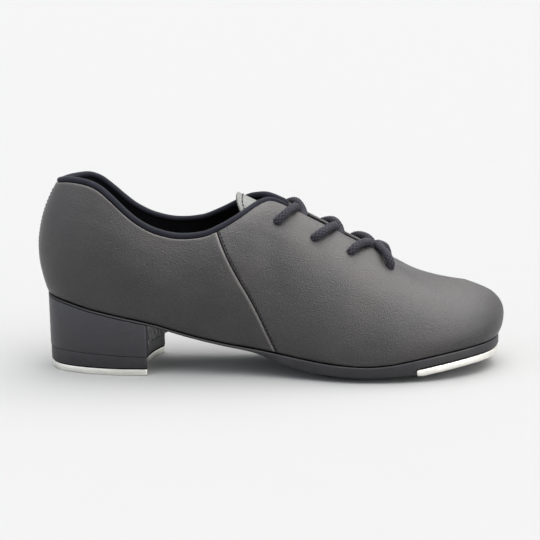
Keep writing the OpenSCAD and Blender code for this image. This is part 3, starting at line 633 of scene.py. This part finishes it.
def make_lace():
    tops = [top_point(np.array(at_side(HOLES[0][0] - BAR_S, side))) for side in (1, -1)]
    feet = [over(HOLES[0][0] - BAR_S / 2, 0.93, side, LACE_RISE) for side in (1, -1)]
    bar = (tops[0] + tops[1]) / 2 + np.array([0, 0, LACE_RISE + 0.4])
    path = spline(half_lace(-1)[::-1] + [feet[1], bar, feet[0]] + half_lace(1), CORD_STEP)
    points, faces, strand = tube(path, BRAID_R, **BRAID_STYLE)
    piece("lace_braid", points, faces, BRAID, replaces=["lace"], extra={"strand": strand})
    for side, word in ((1, "outer"), (-1, "inner")):
        path = spline(tail_route(side), CORD_STEP)
        points, faces, strand = tube(path, BRAID_R, **BRAID_STYLE)
        tail = piece(f"lace_tail_{word}_braid", points, faces, BRAID,
                     replaces=[f"lace_tail_{word}"], extra={"strand": strand})
        way = unit(path[-1] - path[-4])
        steps = np.linspace(0, 1, 29)[:, None]
        tip = path[-1] - way * 1.5 + way * steps * (AGLET_LEN + 1.5)
        radius = LACE_R - 0.35 - 0.25 * smooth(0.1, 0.25, steps[:, 0]) - 0.5 * smooth(0.8, 1, steps[:, 0])
        radius[:2] += 0.12
        tip_points, tip_faces, _ = tube(tip, radius, 20)
        aglet = piece(f"aglet_{word}", tip_points, tip_faces, PLASTIC,
                      replaces=["lace_aglets"])


make_lace()

# ---------------------------------------------------------------- the upper
# Points where a bend would begin and end; here a piece that has them is only left unattached with its
# placement baked in. The upper's way slants forward and down.
UPPER_BEND = ((52, 0, 12), (52 + 27.3 * 0.909, 0, 12 - 27.3 * 0.417))
SOLE_BEND = ((52, 0, 10), (82, 0, 10))
# Millimetres that one unit of a grid's own parameters spans near its edges
TOP_SPAN, FEATHER_SPAN, VAMP_SPAN, QUARTER_SPAN = 66, 60, 150, 120
HOLE_POINTS = [over(s, t, side, 0) for s, t in HOLES for side in (1, -1)]
# Soft folds in the leather: ends in side view (x, z), width, height
FOLDS = [((-30, 76), (-8, 60), 3.2, 0.3), ((-22, 83), (6, 68), 2.6, 0.26), ((-12, 87), (14, 76), 2.4, 0.2),
         ((-112, 99), (-88, 93), 3.2, 0.24), ((-106, 91), (-74, 78), 3.6, 0.24),
         ((-96, 84), (-62, 71), 4.0, 0.16), ((70, 50), (86, 40), 5.5, 0.08),
         ((-4, 82), (16, 60), 5.0, 0.2), ((6, 84), (24, 66), 4.2, 0.16)]


def soft(points, size, height):
    """Slow rise and fall of a worked surface, in millimetres."""
    flat = points.reshape(-1, 3) / size
    values = np.array([noise.noise(Vector(p)) for p in flat])
    return values.reshape(points.shape[:-1]) * height


def worked(points):
    """How far the leather's face stands proud of its plain shape."""
    lift = soft(points, 26.0, 0.4) + soft(points + 50, 9.0, 0.12)
    for centre in HOLE_POINTS:
        away = np.linalg.norm(points - centre, axis=-1)
        lift = lift - 0.5 * np.exp(-((away / 4.2) ** 2))
    for (ax, az), (bx, bz), width, height in FOLDS:
        a, d = np.array([ax, az]), np.array([bx - ax, bz - az], float)
        q = points[..., [0, 2]] - a
        f = np.clip((q @ d) / (d @ d), 0, 1)
        away = np.linalg.norm(q - f[..., None] * d, axis=-1)
        fade = np.sin(np.pi * np.clip(f, 0.02, 0.98)) ** 0.7
        crest, trough = np.exp(-((away / width) ** 2)), np.exp(-((away / width / 2) ** 2))
        lift = lift + height * fade * (crest - 0.5 * trough)
    return lift


def roll(away, radius):
    """Depth of an edge's rounding at that distance from the edge."""
    left = np.clip(radius - away, 0, radius)
    return radius - np.sqrt(radius**2 - left**2)


EDGE_STEPS = np.array([0, 0.1, 0.25, 0.45, 0.75, 1.2, 2.0, 3.3])
ROWS = np.concatenate([[0, 0.004, 0.01, 0.018, 0.028], np.linspace(0.045, 0.95, 38),
                       1 - EDGE_STEPS[::-1][:-1] / TOP_SPAN, [1]])
SEAM_ROLL, TOP_ROLL, FEATHER_ROLL = 0.85, 0.6, 1.5


def painted_edge_highlight(from_seam, t, w, seam_share):
    """Painted highlight: a pale line along the cut edges at the seam and at the top, where the rolled edges
    catch the light.
    """
    s = np.where(w > 1, 2 - w, w)
    open_top = 1 - smooth(THROAT_S - 0.012, THROAT_S, s)
    line = np.maximum(seam_share * np.exp(-((from_seam - 0.3) / 0.45) ** 2),
                      0.75 * open_top * np.exp(-(((1 - t) * TOP_SPAN - 0.3) / 0.6) ** 2))
    return np.clip(line, 0, 1)


def inner_depth(t):
    """Depth of the leather's inner face, which also draws in at the feather edge."""
    return LEATHER_T + roll(t * FEATHER_SPAN, FEATHER_ROLL) * 0.9


def edge_highlight_points(line, used):
    """The painted edge highlight of each point of a shell, the same on both of its faces."""
    values = np.concatenate([line.ravel(), line.ravel()])[used]
    return np.stack([values, 0 * values, 0 * values], -1)


def leather_depth(from_seam, w, t, points):
    """Depth of the leather's outer face: rolled at its edges, folded and uneven elsewhere."""
    s = np.where(w > 1, 2 - w, w)
    open_top = 1 - smooth(THROAT_S - 0.012, THROAT_S, s)
    depth = roll(from_seam, SEAM_ROLL) + roll((1 - t) * TOP_SPAN, TOP_ROLL) * open_top
    uneven = 1 + 0.5 * soft(points, 5.0, 1.0)
    depth = depth + roll(t * FEATHER_SPAN, FEATHER_ROLL) * uneven
    fade = smooth(0, 0.05, t) * smooth(0, 0.03, 1 - t)
    return depth - worked(points) * np.where(open_top < 1, smooth(0, 0.05, t), fade)


FACING_SHARE = (THROAT_S - SEAM_S[1]) / (1 - SEAM_S[1])


def vamp_shares():
    """Columns from the seam to the middle of the toe, with one at the throat."""
    edge = EDGE_STEPS / VAMP_SPAN
    return np.concatenate([edge, np.linspace(edge[-1], FACING_SHARE, 52)[1:],
                           np.linspace(FACING_SHARE, 1, 40)[1:]])


def vamp_grid(shares, rows):
    """Both sides of the vamp, seam to seam round the toe: w, t and each column's share."""
    t = rows[None] + 0 * shares[:, None]
    s = mix(seam_s(t) + SEAM_GAP, 1, shares[:, None])
    w = np.vstack([s, 2 - s[-2::-1]])
    return w, np.vstack([t, t[-2::-1]]), np.concatenate([shares, shares[-2::-1]])


def ease_ridge(points, joins, reach=22, rounds=160):
    """Evens out the crease over the toe's ridge, on a grid whose two halves meet at its top row."""
    c = points.shape[0]
    inside = np.arange(joins + 1, c // 2 + 1)
    fade = smooth(0, 10, np.arange(len(inside)))[:, None, None]
    for _ in range(rounds):
        near, far = points[inside, -reach:], points[c - 1 - inside, -reach:]
        strip = np.concatenate([near, far[:, -2::-1]], 1)
        eased = strip.copy()
        eased[:, 1:-1] = (strip[:, :-2] + 2 * strip[:, 1:-1] + strip[:, 2:]) / 4
        eased[1:-1] = (eased[:-2] + 2 * eased[1:-1] + eased[2:]) / 4
        weight = np.sin(np.linspace(0, np.pi, strip.shape[1]))[None, :, None] * fade
        strip = mix(strip, eased, weight)
        points[inside, -reach:] = strip[:, :reach]
        points[c - 1 - inside, -reach:] = strip[:, :reach - 2:-1]
    return points


def ease_throat(points, w, t, rounds=90):
    """Evens out the vamp beside the throat, where its top edge turns from the facing to the ridge."""
    s = np.where(w > 1, 2 - w, w)
    weight = np.exp(-(((s - THROAT_S) / 0.055) ** 2)) * smooth(0.15, 0.5, t) * (1 - smooth(0.88, 0.97, t))
    for _ in range(rounds):
        eased = (points[:-2] + 2 * points[1:-1] + points[2:]) / 4
        points[1:-1] = mix(points[1:-1], eased, weight[1:-1, :, None])
    return points


def make_vamp():
    shares = vamp_shares()
    w, t, share = vamp_grid(shares, ROWS)
    joins = int(np.argmin(abs(shares - FACING_SHARE))) + 1
    from_seam = share[:, None] * VAMP_SPAN
    depth = leather_depth(from_seam, w, t, skin(w, t))
    outer = ease_ridge(ease_throat(under(w, t, depth), w, t), joins)
    inner = ease_ridge(under(w, t, inner_depth(t)), joins)
    points, faces, used = shell(outer, inner, joins)
    # A pale line painted along the seam edge and the top edge: a painted highlight.
    line = painted_edge_highlight(from_seam, t, w, 0.25)
    obj = piece("vamp_leather", points, faces, UPPER, ride=False,
                extra={"edge_highlight": edge_highlight_points(line, used)})
    cut(obj, [hole_cutter(s, q, side) for s, q in HOLES for side in (1, -1)])
    finish_piece(obj, UPPER, replaces=["vamp"], bend=UPPER_BEND, sharp=50)


def make_vamp_lining():
    to_throat = 30
    shares = np.concatenate([np.linspace(0, FACING_SHARE, to_throat),
                             np.linspace(FACING_SHARE, 1, 24)[1:]])
    w, t, _ = vamp_grid(shares, np.linspace(0, 1, 30))
    layers = [ease_ridge(under(w, t, 0 * t + d), to_throat, 14, 60) for d in (LINING_IN, LINING_OUT)]
    points, faces, _ = shell(*layers, to_throat)
    obj = piece("vamp_lining_cloth", points, faces, LINING, ride=False)
    cut(obj, [hole_cutter(s, q, side) for s, q in HOLES for side in (1, -1)])
    finish_piece(obj, LINING, replaces=["vamp_lining"], bend=UPPER_BEND, sharp=50)


def hole_cutter(s, t, side):
    w = np.array(at_side(s, side))
    centre, way = skin(w, np.array(t)), skin_normal(w, np.array(t))
    path = centre + way * np.linspace(-4.5, 4, 4)[:, None]
    return plug(path, HOLE_R, 28)


def make_quarters():
    edge = EDGE_STEPS / QUARTER_SPAN
    shares = np.concatenate([edge, np.linspace(edge[-1], 1 - edge[-1], 72)[1:-1], 1 - edge[::-1]])
    for side, word in ((1, "outer"), (-1, "inner")):
        t = ROWS[None] + 0 * shares[:, None]
        s = np.maximum(SEAM_GAP, (seam_s(t) - SEAM_GAP) * shares[:, None])
        w = s if side > 0 else 2 - s
        from_seam = np.minimum(shares, 1 - shares)[:, None] * QUARTER_SPAN
        outer = under(w, t, leather_depth(from_seam, w, t, skin(w, t)))
        inner = under(w, t, inner_depth(t))
        # A pale line painted along the seam edge and the top edge: a painted highlight, stronger on the
        # quarter's side of the seam.
        line = painted_edge_highlight((1 - shares)[:, None] * QUARTER_SPAN, t, w, 0.9)
        if side < 0:
            outer, inner, line = outer[::-1], inner[::-1], line[::-1]
        points, faces, used = shell(outer, inner)
        piece(f"{word}_quarter_leather", points, faces, UPPER,
              replaces=[f"{word}_quarter"], sharp=50, extra={"edge_highlight": edge_highlight_points(line, used)})


def make_quarter_lining():
    back = 40
    t = np.linspace(0, 1, 30)[None] + np.zeros((2 * back + 1, 1))
    s = (seam_s(t) - SEAM_GAP) * np.linspace(-1, 1, 2 * back + 1)[:, None]
    w = np.where(s < 0, 2 + s, s)
    layers = []
    for d in (LINING_IN, LINING_OUT):
        layer = under(w, t, d + 0 * t)
        layer[back] = (layer[back - 1] + layer[back + 1]) / 2
        layers.append(layer)
    points, faces, _ = shell(*layers)
    obj = piece("quarter_lining_cloth", points, faces, LINING,
                replaces=["quarter_lining"], sharp=50)


def stitch_row(name, path, normal, body="shoe", pitch=2.4, stitch=1.5, thread=0.3, sink=0.05):
    """Separate stitches along a path: each a short bowed thread whose ends go into the material."""
    points, faces = [], []
    at = np.concatenate([[0], np.cumsum(np.linalg.norm(np.diff(path, axis=0), axis=1))])
    for start in np.arange(0.5, at[-1] - stitch, pitch):
        f = start + np.linspace(0, stitch, 6)
        p = np.stack([np.interp(f, at, path[:, k]) for k in range(3)], -1)
        up = unit(np.stack([np.interp(f, at, normal[:, k]) for k in range(3)], -1))
        bow = np.sin(np.linspace(0, np.pi, 6))[:, None]
        q, g, _ = tube(p + up * (bow * thread * 1.4 - thread - sink), thread, 6, cap=False)
        faces += [tuple(k + len(points) for k in face) for face in g]
        points += list(q)
    piece(name, np.array(points), faces, THREAD, body=body)


def make_seam_stitches():
    for side, word in ((1, "outer"), (-1, "inner")):
        t = np.linspace(0.02, 0.985, 160)
        w = np.array([at_side(s + 0.0032, side) for s in seam_s(t)])
        depth = leather_depth(0.9 + 0 * t, w, t, skin(w, t))
        stitch_row(f"{word}_side_seam_thread", under(w, t, depth - 0.1), skin_normal(w, t))
    t = np.linspace(0.03, 0.96, 160)
    w = 0 * t + 0.003
    stitch_row("back_seam_thread", under(w, t, leather_depth(0.9 + 0 * t, w, t, skin(w, t)) - 0.1),
               skin_normal(w, t), thread=0.26)


def binding_centre(w, lift):
    edge = unit(top_point(w + EPS) - top_point(w - EPS))
    up = skin(w, 1 + 0 * w) - skin(w, 0.98 + 0 * w)
    rise = unit(up - edge * (up * edge).sum(-1, keepdims=True))
    return under(w, 1 + 0 * w, LINING_OUT / 2 + 0 * w) + rise * lift


def make_binding():
    turns = np.linspace(-90, 90, 241)
    w = BINDING_END * np.sin(np.radians(turns))
    path = resample(binding_centre(w, BINDING_D / 2 + BINDING_GAP), 0.5)
    ends = np.minimum(np.arange(len(path)), np.arange(len(path))[::-1]) * 0.5
    radius = (BINDING_D / 2) * (0.72 + 0.28 * smooth(0, 3, ends))
    radius = radius + soft(path, 7.0, 0.06)
    points, faces, strand = tube(path, radius, 26, braid=12, pitch=9.0, bumps=0.16)
    piece("collar_binding_knit", points, faces, KNIT, replaces=["collar_binding"],
          extra={"strand": strand})


def make_binding_flange():
    """The part of the binding that is sewn in between leather and lining."""
    edge = BINDING_END * np.sin(np.radians(np.linspace(-88, 88, 181)))
    w = edge[:, None] + np.zeros((1, 4))
    t = 0 * w + np.array([0.93, 0.96, 0.985, 1.0])[None]
    top, out = binding_centre(edge, BINDING_GAP + 0.6), skin_normal(edge, 0.98 + 0 * edge)
    layers = [np.concatenate([under(w, t, LINING_IN - d + 0 * t), (top + d * out)[:, None]], 1)
              for d in (0.09, 0.02)]
    points, faces, _ = shell(*layers)
    piece("binding_flange", points, faces, LINING, sharp=50)


def tongue_point(f, v):
    trim = TONGUE_CORNER * v**4
    x = mix(TONGUE_X[0] + trim, TONGUE_X[1] - trim, f)
    p = along(TONGUE, x)
    y = v * p[..., 1]
    return np.stack([x, y + along(MIDDLE_Y, x), p[..., 0] - p[..., 2] * y * y], -1)


def tongue_normal(f, v):
    return unit(np.cross(tongue_point(f + EPS, v) - tongue_point(f - EPS, v),
                         tongue_point(f, v + EPS) - tongue_point(f, v - EPS)))


def make_tongue():
    long, half = 94, 15
    edge = np.array([0, 0.15, 0.35, 0.6, 0.9, 1.4, 2.2])
    f = np.concatenate([edge / long, np.linspace(0.035, 0.965, 60), 1 - edge[::-1] / long])
    v = np.concatenate([-1 + edge / half, np.linspace(-0.8, 0.8, 24), 1 - edge[::-1] / half])
    f, v = np.meshgrid(f, v, indexing="ij")
    from_edge = np.minimum(np.minimum(f, 1 - f) * long, (1 - abs(v)) * half)
    up = tongue_normal(f, v)
    # a shallow channel that the stitches pull into the leather, 3 mm from the edge
    channel = 0.28 * np.exp(-(((from_edge - 3) / 0.7) ** 2))
    lift = soft(tongue_point(f, v), 12.0, 0.18) * smooth(0, 3, from_edge)
    outer = tongue_point(f, v) + up * (lift - channel - roll(from_edge, 0.5))[..., None]
    inner = tongue_point(f, v) - up * (LEATHER_T - 0.02)
    points, faces, _ = shell(outer, inner)
    piece("tongue_leather", points, faces, TONGUE_SKIN, body="tongue",
          replaces=["tongue"], sharp=60)
    layers = [tongue_point(f, v) - up * d for d in (LEATHER_T + 0.1, LEATHER_T + 0.1 + TONGUE_LINING_T)]
    points, faces, _ = shell(layers[0], layers[1] + up * roll(from_edge, 0.35)[..., None])
    obj = piece("tongue_lining_cloth", points, faces, LINING, body="tongue",
                replaces=["tongue_lining"], sharp=60)


def make_tongue_stitches():
    """A row along the tongue's free end and both of its sides, to where the facings cover it."""
    down, end, beside = np.linspace(0.75, 0.05, 90), 0.032, 0.8
    across = np.linspace(-beside, beside, 40)
    f = np.concatenate([down, 0 * across + end, down[::-1]])
    v = np.concatenate([0 * down - beside, across, 0 * down + beside])
    normal = tongue_normal(f, v)
    stitch_row("tongue_stitching", tongue_point(f, v) - normal * 0.2, normal,
               body="tongue", pitch=2.6, stitch=1.8, thread=0.32, sink=-0.15)


make_vamp()
make_vamp_lining()
make_quarters()
make_quarter_lining()
make_seam_stitches()
make_binding()
make_binding_flange()
make_tongue()
make_tongue_stitches()


# ---------------------------------------------------------------- the bottom
def outline(w, inset):
    return (sole_point(w) - outward(w) * inset)[:, :2]


def even_loop(loop, step=1.2, rounds=2):
    """A closed outline with even steps and its corners a little rounded."""
    closed = np.column_stack([np.vstack([loop, loop[:1]]), np.zeros(len(loop) + 1)])
    path = resample(closed, step)[:-1, :2]
    for _ in range(rounds):
        path = (np.roll(path, 1, 0) + 2 * path + np.roll(path, -1, 0)) / 4
    return path


def inset_loop(loop, d):
    """An anticlockwise loop moved inwards by d."""
    way = unit(np.roll(loop, -1, 0) - np.roll(loop, 1, 0))
    return loop + np.column_stack([-way[:, 1], way[:, 0]]) * d


def area_of(loop):
    x, y = loop[:, 0], loop[:, 1]
    return float((x * np.roll(y, -1) - np.roll(x, -1) * y).sum() / 2)


def filled(loop, spacing):
    """Triangles that fill a loop, with points inside it so that the face can curve."""
    lo, hi = loop.min(0), loop.max(0)
    xs, ys = (np.arange(lo[k] + spacing / 2, hi[k], spacing) for k in (0, 1))
    seeds = np.array([(x, y) for x in xs for y in ys])
    a, b = loop, np.roll(loop, -1, 0)
    crosses = ((a[None, :, 1] > seeds[:, None, 1]) != (b[None, :, 1] > seeds[:, None, 1])) & (
        seeds[:, None, 0] < (b - a)[None, :, 0] * (seeds[:, None, 1] - a[None, :, 1])
        / ((b - a)[None, :, 1] + 1e-12) + a[None, :, 0])
    away = np.linalg.norm(seeds[:, None] - loop[None], axis=-1).min(1)
    seeds = seeds[(crosses.sum(1) % 2 == 1) & (away > spacing * 0.45)]
    points = np.vstack([loop, seeds])
    n = len(loop)
    rim = [(k, (k + 1) % n) for k in range(n)]
    out = geometry.delaunay_2d_cdt([Vector(p) for p in points], rim, [], 1, 1e-6)
    order = {k: made[0] for k, made in enumerate(out[3]) if made}
    return seeds, [tuple(order[k] for k in f) for f in out[2]]


def block(name, loop, low, high, material, round_low=0.4, round_high=0.4, spacing=4.0,
          crown=None, cutters=(), shape=None, body="shoe", replaces=(), bend=None):
    """A piece with that outline between two side-view curves, its edges rounded."""
    if area_of(loop) < 0:
        loop = loop[::-1]
    n = len(loop)
    arcs = np.radians([90, 60, 30, 0])
    rings = [(round_high * (1 - math.cos(a)), -round_high * (1 - math.sin(a)), high) for a in arcs]
    rings += [(round_low * (1 - math.cos(a)), round_low * (1 - math.sin(a)), low) for a in arcs[::-1]]
    points = []
    for inset, shift, height in rings:
        ring = inset_loop(loop, inset)
        points.append(np.column_stack([ring, height(ring[:, 0]) + shift]))
    faces = []
    for k in range(len(rings) - 1):
        faces += [(k * n + i, (k + 1) * n + i, (k + 1) * n + (i + 1) % n, k * n + (i + 1) % n)
                  for i in range(n)]
    count = len(rings) * n
    for start, height, flip in ((0, high, False), ((len(rings) - 1) * n, low, True)):
        seeds, triangles = filled(loop, spacing)
        z = height(seeds[:, 0])
        if crown is not None and not flip:
            z = z + crown(np.linalg.norm(seeds[:, None] - loop[None], axis=-1).min(1))
        points.append(np.column_stack([seeds, z]))
        for f in triangles:
            f = tuple(start + k if k < n else count + k - n for k in f)
            faces.append(f[::-1] if flip else f)
        count += len(seeds)
    points = np.vstack(points)
    if shape is not None:
        points = shape(points)
    obj = piece(name, points, faces, material, ride=False)
    cut(obj, cutters)
    finish_piece(obj, material, body, replaces, bend, sharp=50)
    return obj


def whole(inset, step=1.2):
    return even_loop(outline(np.linspace(0, 2, 400, endpoint=False), inset), step, 1)


def between(inset, from_x, to_x):
    """The sole's outline, inset and cut off square at two places along it."""
    loop = outline(np.linspace(0, 2, 1600, endpoint=False), inset)
    return even_loop(np.column_stack([np.clip(loop[:, 0], from_x, to_x), loop[:, 1]]), rounds=3)


def closed_by(side, curve, count):
    """A loop from an open outline, closed by the curve x(y) from its end to its start."""
    y = np.linspace(side[-1, 1], side[0, 1], count)
    return np.vstack([side, np.column_stack([curve(y), y])[1:-1]])


def breast_x(y):
    """The heel's hollow front face."""
    return BREAST[0] - np.sqrt(BREAST_R**2 - (y - BREAST[1]) ** 2)


def heel_loop(inset):
    side = outline(np.linspace(-0.345, 0.345, 400) % 2, inset)
    return even_loop(closed_by(side[side[:, 0] < breast_x(side[:, 1])], breast_x, 60), 0.8)


def tap_rear_x(y):
    """The toe tap's hollow rear edge."""
    return TAP_CENTRE_X + np.sqrt(TAP_REAR_R**2 - y**2)


def tap_ring(inset, from_w, count):
    """The toe tap's outline, moved inwards by inset at the sole's edge."""
    side = outline(np.linspace(from_w, 2 - from_w, count), inset)
    return closed_by(side[side[:, 0] > tap_rear_x(side[:, 1])], tap_rear_x, 70)


def tap_loop(inset):
    return even_loop(tap_ring(inset, TAP_W, 400), 0.8, 10)


def toe_level(drop):
    return lambda x: sole_z(x) - TOE_SOLE_T - drop


def outsole_low(x):
    """Underside of the outsole, before the toe tap's seat is cut in it."""
    return sole_z(x) - along(OUTSOLE_T, x)


def screw_cutters(points, height):
    """Holes for the screws' heads and shanks, from below."""
    made = []
    for x, y in points:
        path = np.array([[x, y, height(x) + h] for h in (-3, -0.01, 0.5, 2.0, 8.0)])
        made.append(plug(path, [SCREW_HEAD_R] * 3 + [SCREW_SHANK_R] * 2, 32))
    return made


def ease_tap_end(points):
    """Rounds the toe tap off upwards towards its hollow rear edge."""
    from_rear = np.hypot(points[:, 0] - TAP_CENTRE_X, points[:, 1]) - TAP_REAR_R
    low = toe_level(TAP_BOARD_T + TOE_TAP_T)(points[:, 0])
    up = 1 - (points[:, 2] - low) / TOE_TAP_T
    points = points.copy()
    points[:, 2] += roll(np.maximum(from_rear, 0), 3.0) * np.clip(up, 0, 1)
    return points


def make_toe_tap():
    low, gap = toe_level(TAP_BOARD_T + TOE_TAP_T), 0.4
    block("toe_tap_plate", tap_loop(-SOLE_OUT), low, toe_level(TAP_BOARD_T + gap), ALUMINIUM,
          1.1, 0.4, shape=ease_tap_end, body="toe", replaces=["toe_tap"],
          cutters=screw_cutters(TOE_SCREWS, lambda x: float(low(x)) + 0.5))
    block("toe_tap_board_fibre", tap_loop(1.0), toe_level(TAP_BOARD_T + gap - 0.02), toe_level(0.02),
          TAP_BOARD_AND_SHADE, 0.1, 0.1, body="toe", replaces=["toe_tap_board"])


def level(height):
    return lambda x: 0 * x + height


def make_heel():
    lift_z, gap = HEEL_TAP_T + TAP_BOARD_T, 0.2
    block("heel_tap_plate", heel_loop(0.6), level(0.0), level(HEEL_TAP_T - gap), ALUMINIUM,
          0.5, 0.25, replaces=["heel_tap"],
          cutters=screw_cutters(HEEL_SCREWS, level(0.2)))
    block("heel_tap_board_fibre", heel_loop(0.75), level(HEEL_TAP_T - gap + 0.02), level(lift_z),
          TAP_BOARD_AND_SHADE, 0.1, 0.1, replaces=["heel_tap_board"])
    block("heel_lift_stack", heel_loop(0), level(lift_z + 0.02), lambda x: along(BLOCK_Z, x) - 0.05,
          LIFT_EDGE, 0.3, 0.45, replaces=["heel_lift"])
    block("heel_block_cover", heel_loop(-0.3), lambda x: along(BLOCK_Z, x),
          lambda x: outsole_low(x) - BOARD_GAP, HEEL_SKIN, 0.4, 0.3,
          replaces=["heel_block"])


def above_sole(height):
    return lambda x: sole_z(x) + height


def make_forepart_pad():
    block("forepart_pad_rubber", between(10, 13, 79), lambda x: np.maximum(along(PAD_Z, x), 0),
          lambda x: outsole_low(x) - BOARD_GAP, PAD, 0.5, 0.2,
          replaces=["forepart_pad"], bend=SOLE_BEND)


def make_insoles():
    block("insole_board_fibre", whole(EDGE_IN), above_sole(BOARD_Z), above_sole(BOARD_Z + BOARD_T),
          FIBRE, 0.3, 0.3, replaces=["insole_board"], bend=SOLE_BEND)
    block("filler_cork", between(13, 26, 112), above_sole(0.1), above_sole(1.3), CORK,
          0.2, 0.2, replaces=["forepart_filler"], bend=SOLE_BEND)
    sock = block("sock_liner_pad", whole(EDGE_IN + 0.3), above_sole(SOCK_Z),
                 above_sole(SOCK_Z + SOCK_T - 0.25), SOCK, 0.5, 0.9, crown=sock_crown,
                 spacing=1.6, replaces=["sock_liner"], bend=SOLE_BEND)


def sock_crown(away):
    """The sock liner swells inwards from its edge, but for a pressed channel 5 mm from it."""
    return 0.3 * smooth(0, 8, away) - 0.35 * np.exp(-(((away - 5) / 0.8) ** 2))


def make_breast_cover():
    """The leather turned over the hollow front face of the heel, creased, with a ragged edge."""
    side = heel_loop(-0.3)
    front = side[side[:, 0] > BREAST[0] - BREAST_R - 12][:, 1]
    y = np.linspace(front.min() + 2.2, front.max() - 0.8, 70)[:, None] + np.zeros((1, 26))
    f = np.linspace(0, 1, 26)[None] + 0 * y
    x = breast_x(y)
    ragged = np.array([noise.noise(Vector((v * 0.35, 3.0, 0))) for v in y[:, 0]])[:, None]
    low = along(BLOCK_Z, x) + 1.0 + 0.7 * ragged
    z = mix(low, outsole_low(x) - 0.6, f)
    folds = np.array([[noise.noise(Vector((b * 0.16 + c * 0.3, b * 0.5, c * 0.2))) for b, c in zip(p, q)]
                      for p, q in zip(y, z)])
    points, faces, _ = shell(np.stack([x + 0.9 + 0.6 * folds, y, z], -1), np.stack([x - 0.2, y, z], -1))
    piece("heel_breast_cover", points, faces, HEEL_SKIN, sharp=50)


def tap_seat_cutter():
    """What is taken from under the outsole, from the level that the toe tap's board lies against."""
    ring = even_loop(tap_ring(-4, TAP_W - 0.004, 300), 1.5, 1)
    if area_of(ring) < 0:
        ring = ring[::-1]
    n = len(ring)
    seeds, triangles = filled(ring, 4.0)
    top = np.column_stack([np.vstack([ring, seeds]), np.zeros(n + len(seeds))])
    top[:, 2] = toe_level(0)(top[:, 0])
    low = top.copy()
    low[:, 2] = -6
    m = len(top)
    faces = triangles + [tuple(m + k for k in f[::-1]) for f in triangles]
    faces += [(i, m + i, m + (i + 1) % n, (i + 1) % n) for i in range(n)]
    return np.vstack([top, low]), faces


def make_outsole():
    """The outsole, thick in the forepart, with the step that the toe tap is screwed into."""
    block("outsole_leather", whole(-SOLE_OUT, 1.0), outsole_low, above_sole(-0.05), SOLE_EDGE,
          0.8, 0.9, replaces=["outsole"], bend=SOLE_BEND,
          cutters=[tap_seat_cutter()])


def make_feather_gap():
    """A near-black tube all round in the groove where the upper goes in over the outsole: painted shade in
    that groove, seen as a dark line.
    """
    w = np.linspace(0, 2, 500)
    path = sole_point(w) - outward(w) * 0.75 + [0, 0, 0.4]
    points, faces, _ = tube(resample(path, 1.0), 0.5, 10)
    piece("feather_groove_shade", points, faces, GROOVE_SHADE, bend=SOLE_BEND)


make_toe_tap()
make_heel()
make_forepart_pad()
make_insoles()
make_breast_cover()
make_outsole()
make_feather_gap()

for name, material in (("toe_puff", STIFFENER), ("heel_counter", STIFFENER), ("outer_facing_stay", STAY),
                       ("inner_facing_stay", STAY), ("shank", STEEL), ("toe_tap_screws", STEEL),
                       ("heel_tap_screws", STEEL), ("heel_nails", STEEL)):
    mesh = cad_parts[name].data
    mesh.materials.clear()
    mesh.materials.append(material)


# ---------------------------------------------------------------- floor and light
# Wide soft boxes: towards, cosines of the edges of their fade, colour
BOXES = [((0.26, 0.1, 1), 0.66, 0.96, (6.4, 6.2, 6.05)),
         ((0.8, -0.55, 0.28), 0.8, 0.97, (3.3, 3.25, 3.2)),
         ((-0.85, -0.4, 0.4), 0.84, 0.97, (1.4, 1.45, 1.6))]
ROOM = (0.74, 0.76, 0.78)
FLOOR_HALF = 30.0


def make_floor():
    h = FLOOR_HALF
    mesh = bpy.data.meshes.new("Floor")
    mesh.from_pydata([(-h, -h, 0), (h, -h, 0), (h, h, 0), (-h, h, 0)], [], [(0, 1, 2, 3)])
    floor = bpy.data.objects.new("Floor", mesh)
    floor.location.z = -0.05 * MM
    bpy.context.scene.collection.objects.link(floor)
    m, n, shader = tree("FloorPaper", (0.8, 0.8, 0.8), 0.95, Specular_IOR_Level=0.1)
    two_tone(n, shader, fuzz(n, object_coordinate(n), 40.0), (0.273, 0.277, 0.279), (0.277, 0.281, 0.283))
    mesh.materials.append(m)


def light_room():
    """An even room with a soft box overhead and weaker ones at the toe's and the heel's side."""
    world = bpy.data.worlds.new("Studio")
    bpy.context.scene.world = world
    world.use_nodes = True
    n = world.node_tree
    total = ROOM
    for way, start, end, color in BOXES:
        toward = node(n, "VectorMath", {0: node(n, "TexCoord").outputs["Generated"],
                                        1: Vector(way).normalized()}, operation="DOT_PRODUCT")
        patch = node(n, "MapRange", {"Value": toward.outputs["Value"], "From Min": start,
                                     "From Max": end}, interpolation_type="SMOOTHSTEP").outputs[0]
        box = node(n, "VectorMath", {0: color, "Scale": patch}, operation="SCALE").outputs[0]
        total = node(n, "VectorMath", {0: total, 1: box}, operation="ADD").outputs[0]
    n.links.new(total, n.nodes["Background"].inputs["Color"])
    light = bpy.data.lights.new("Key", "SUN")
    light.energy, light.angle = 0.55, math.radians(22)
    lamp = bpy.data.objects.new("Key", light)
    lamp.rotation_euler = [math.radians(a) for a in (28, -16, 0)]
    bpy.context.scene.collection.objects.link(lamp)
    bpy.context.scene.view_settings.view_transform = "Standard"


make_floor()
light_room()
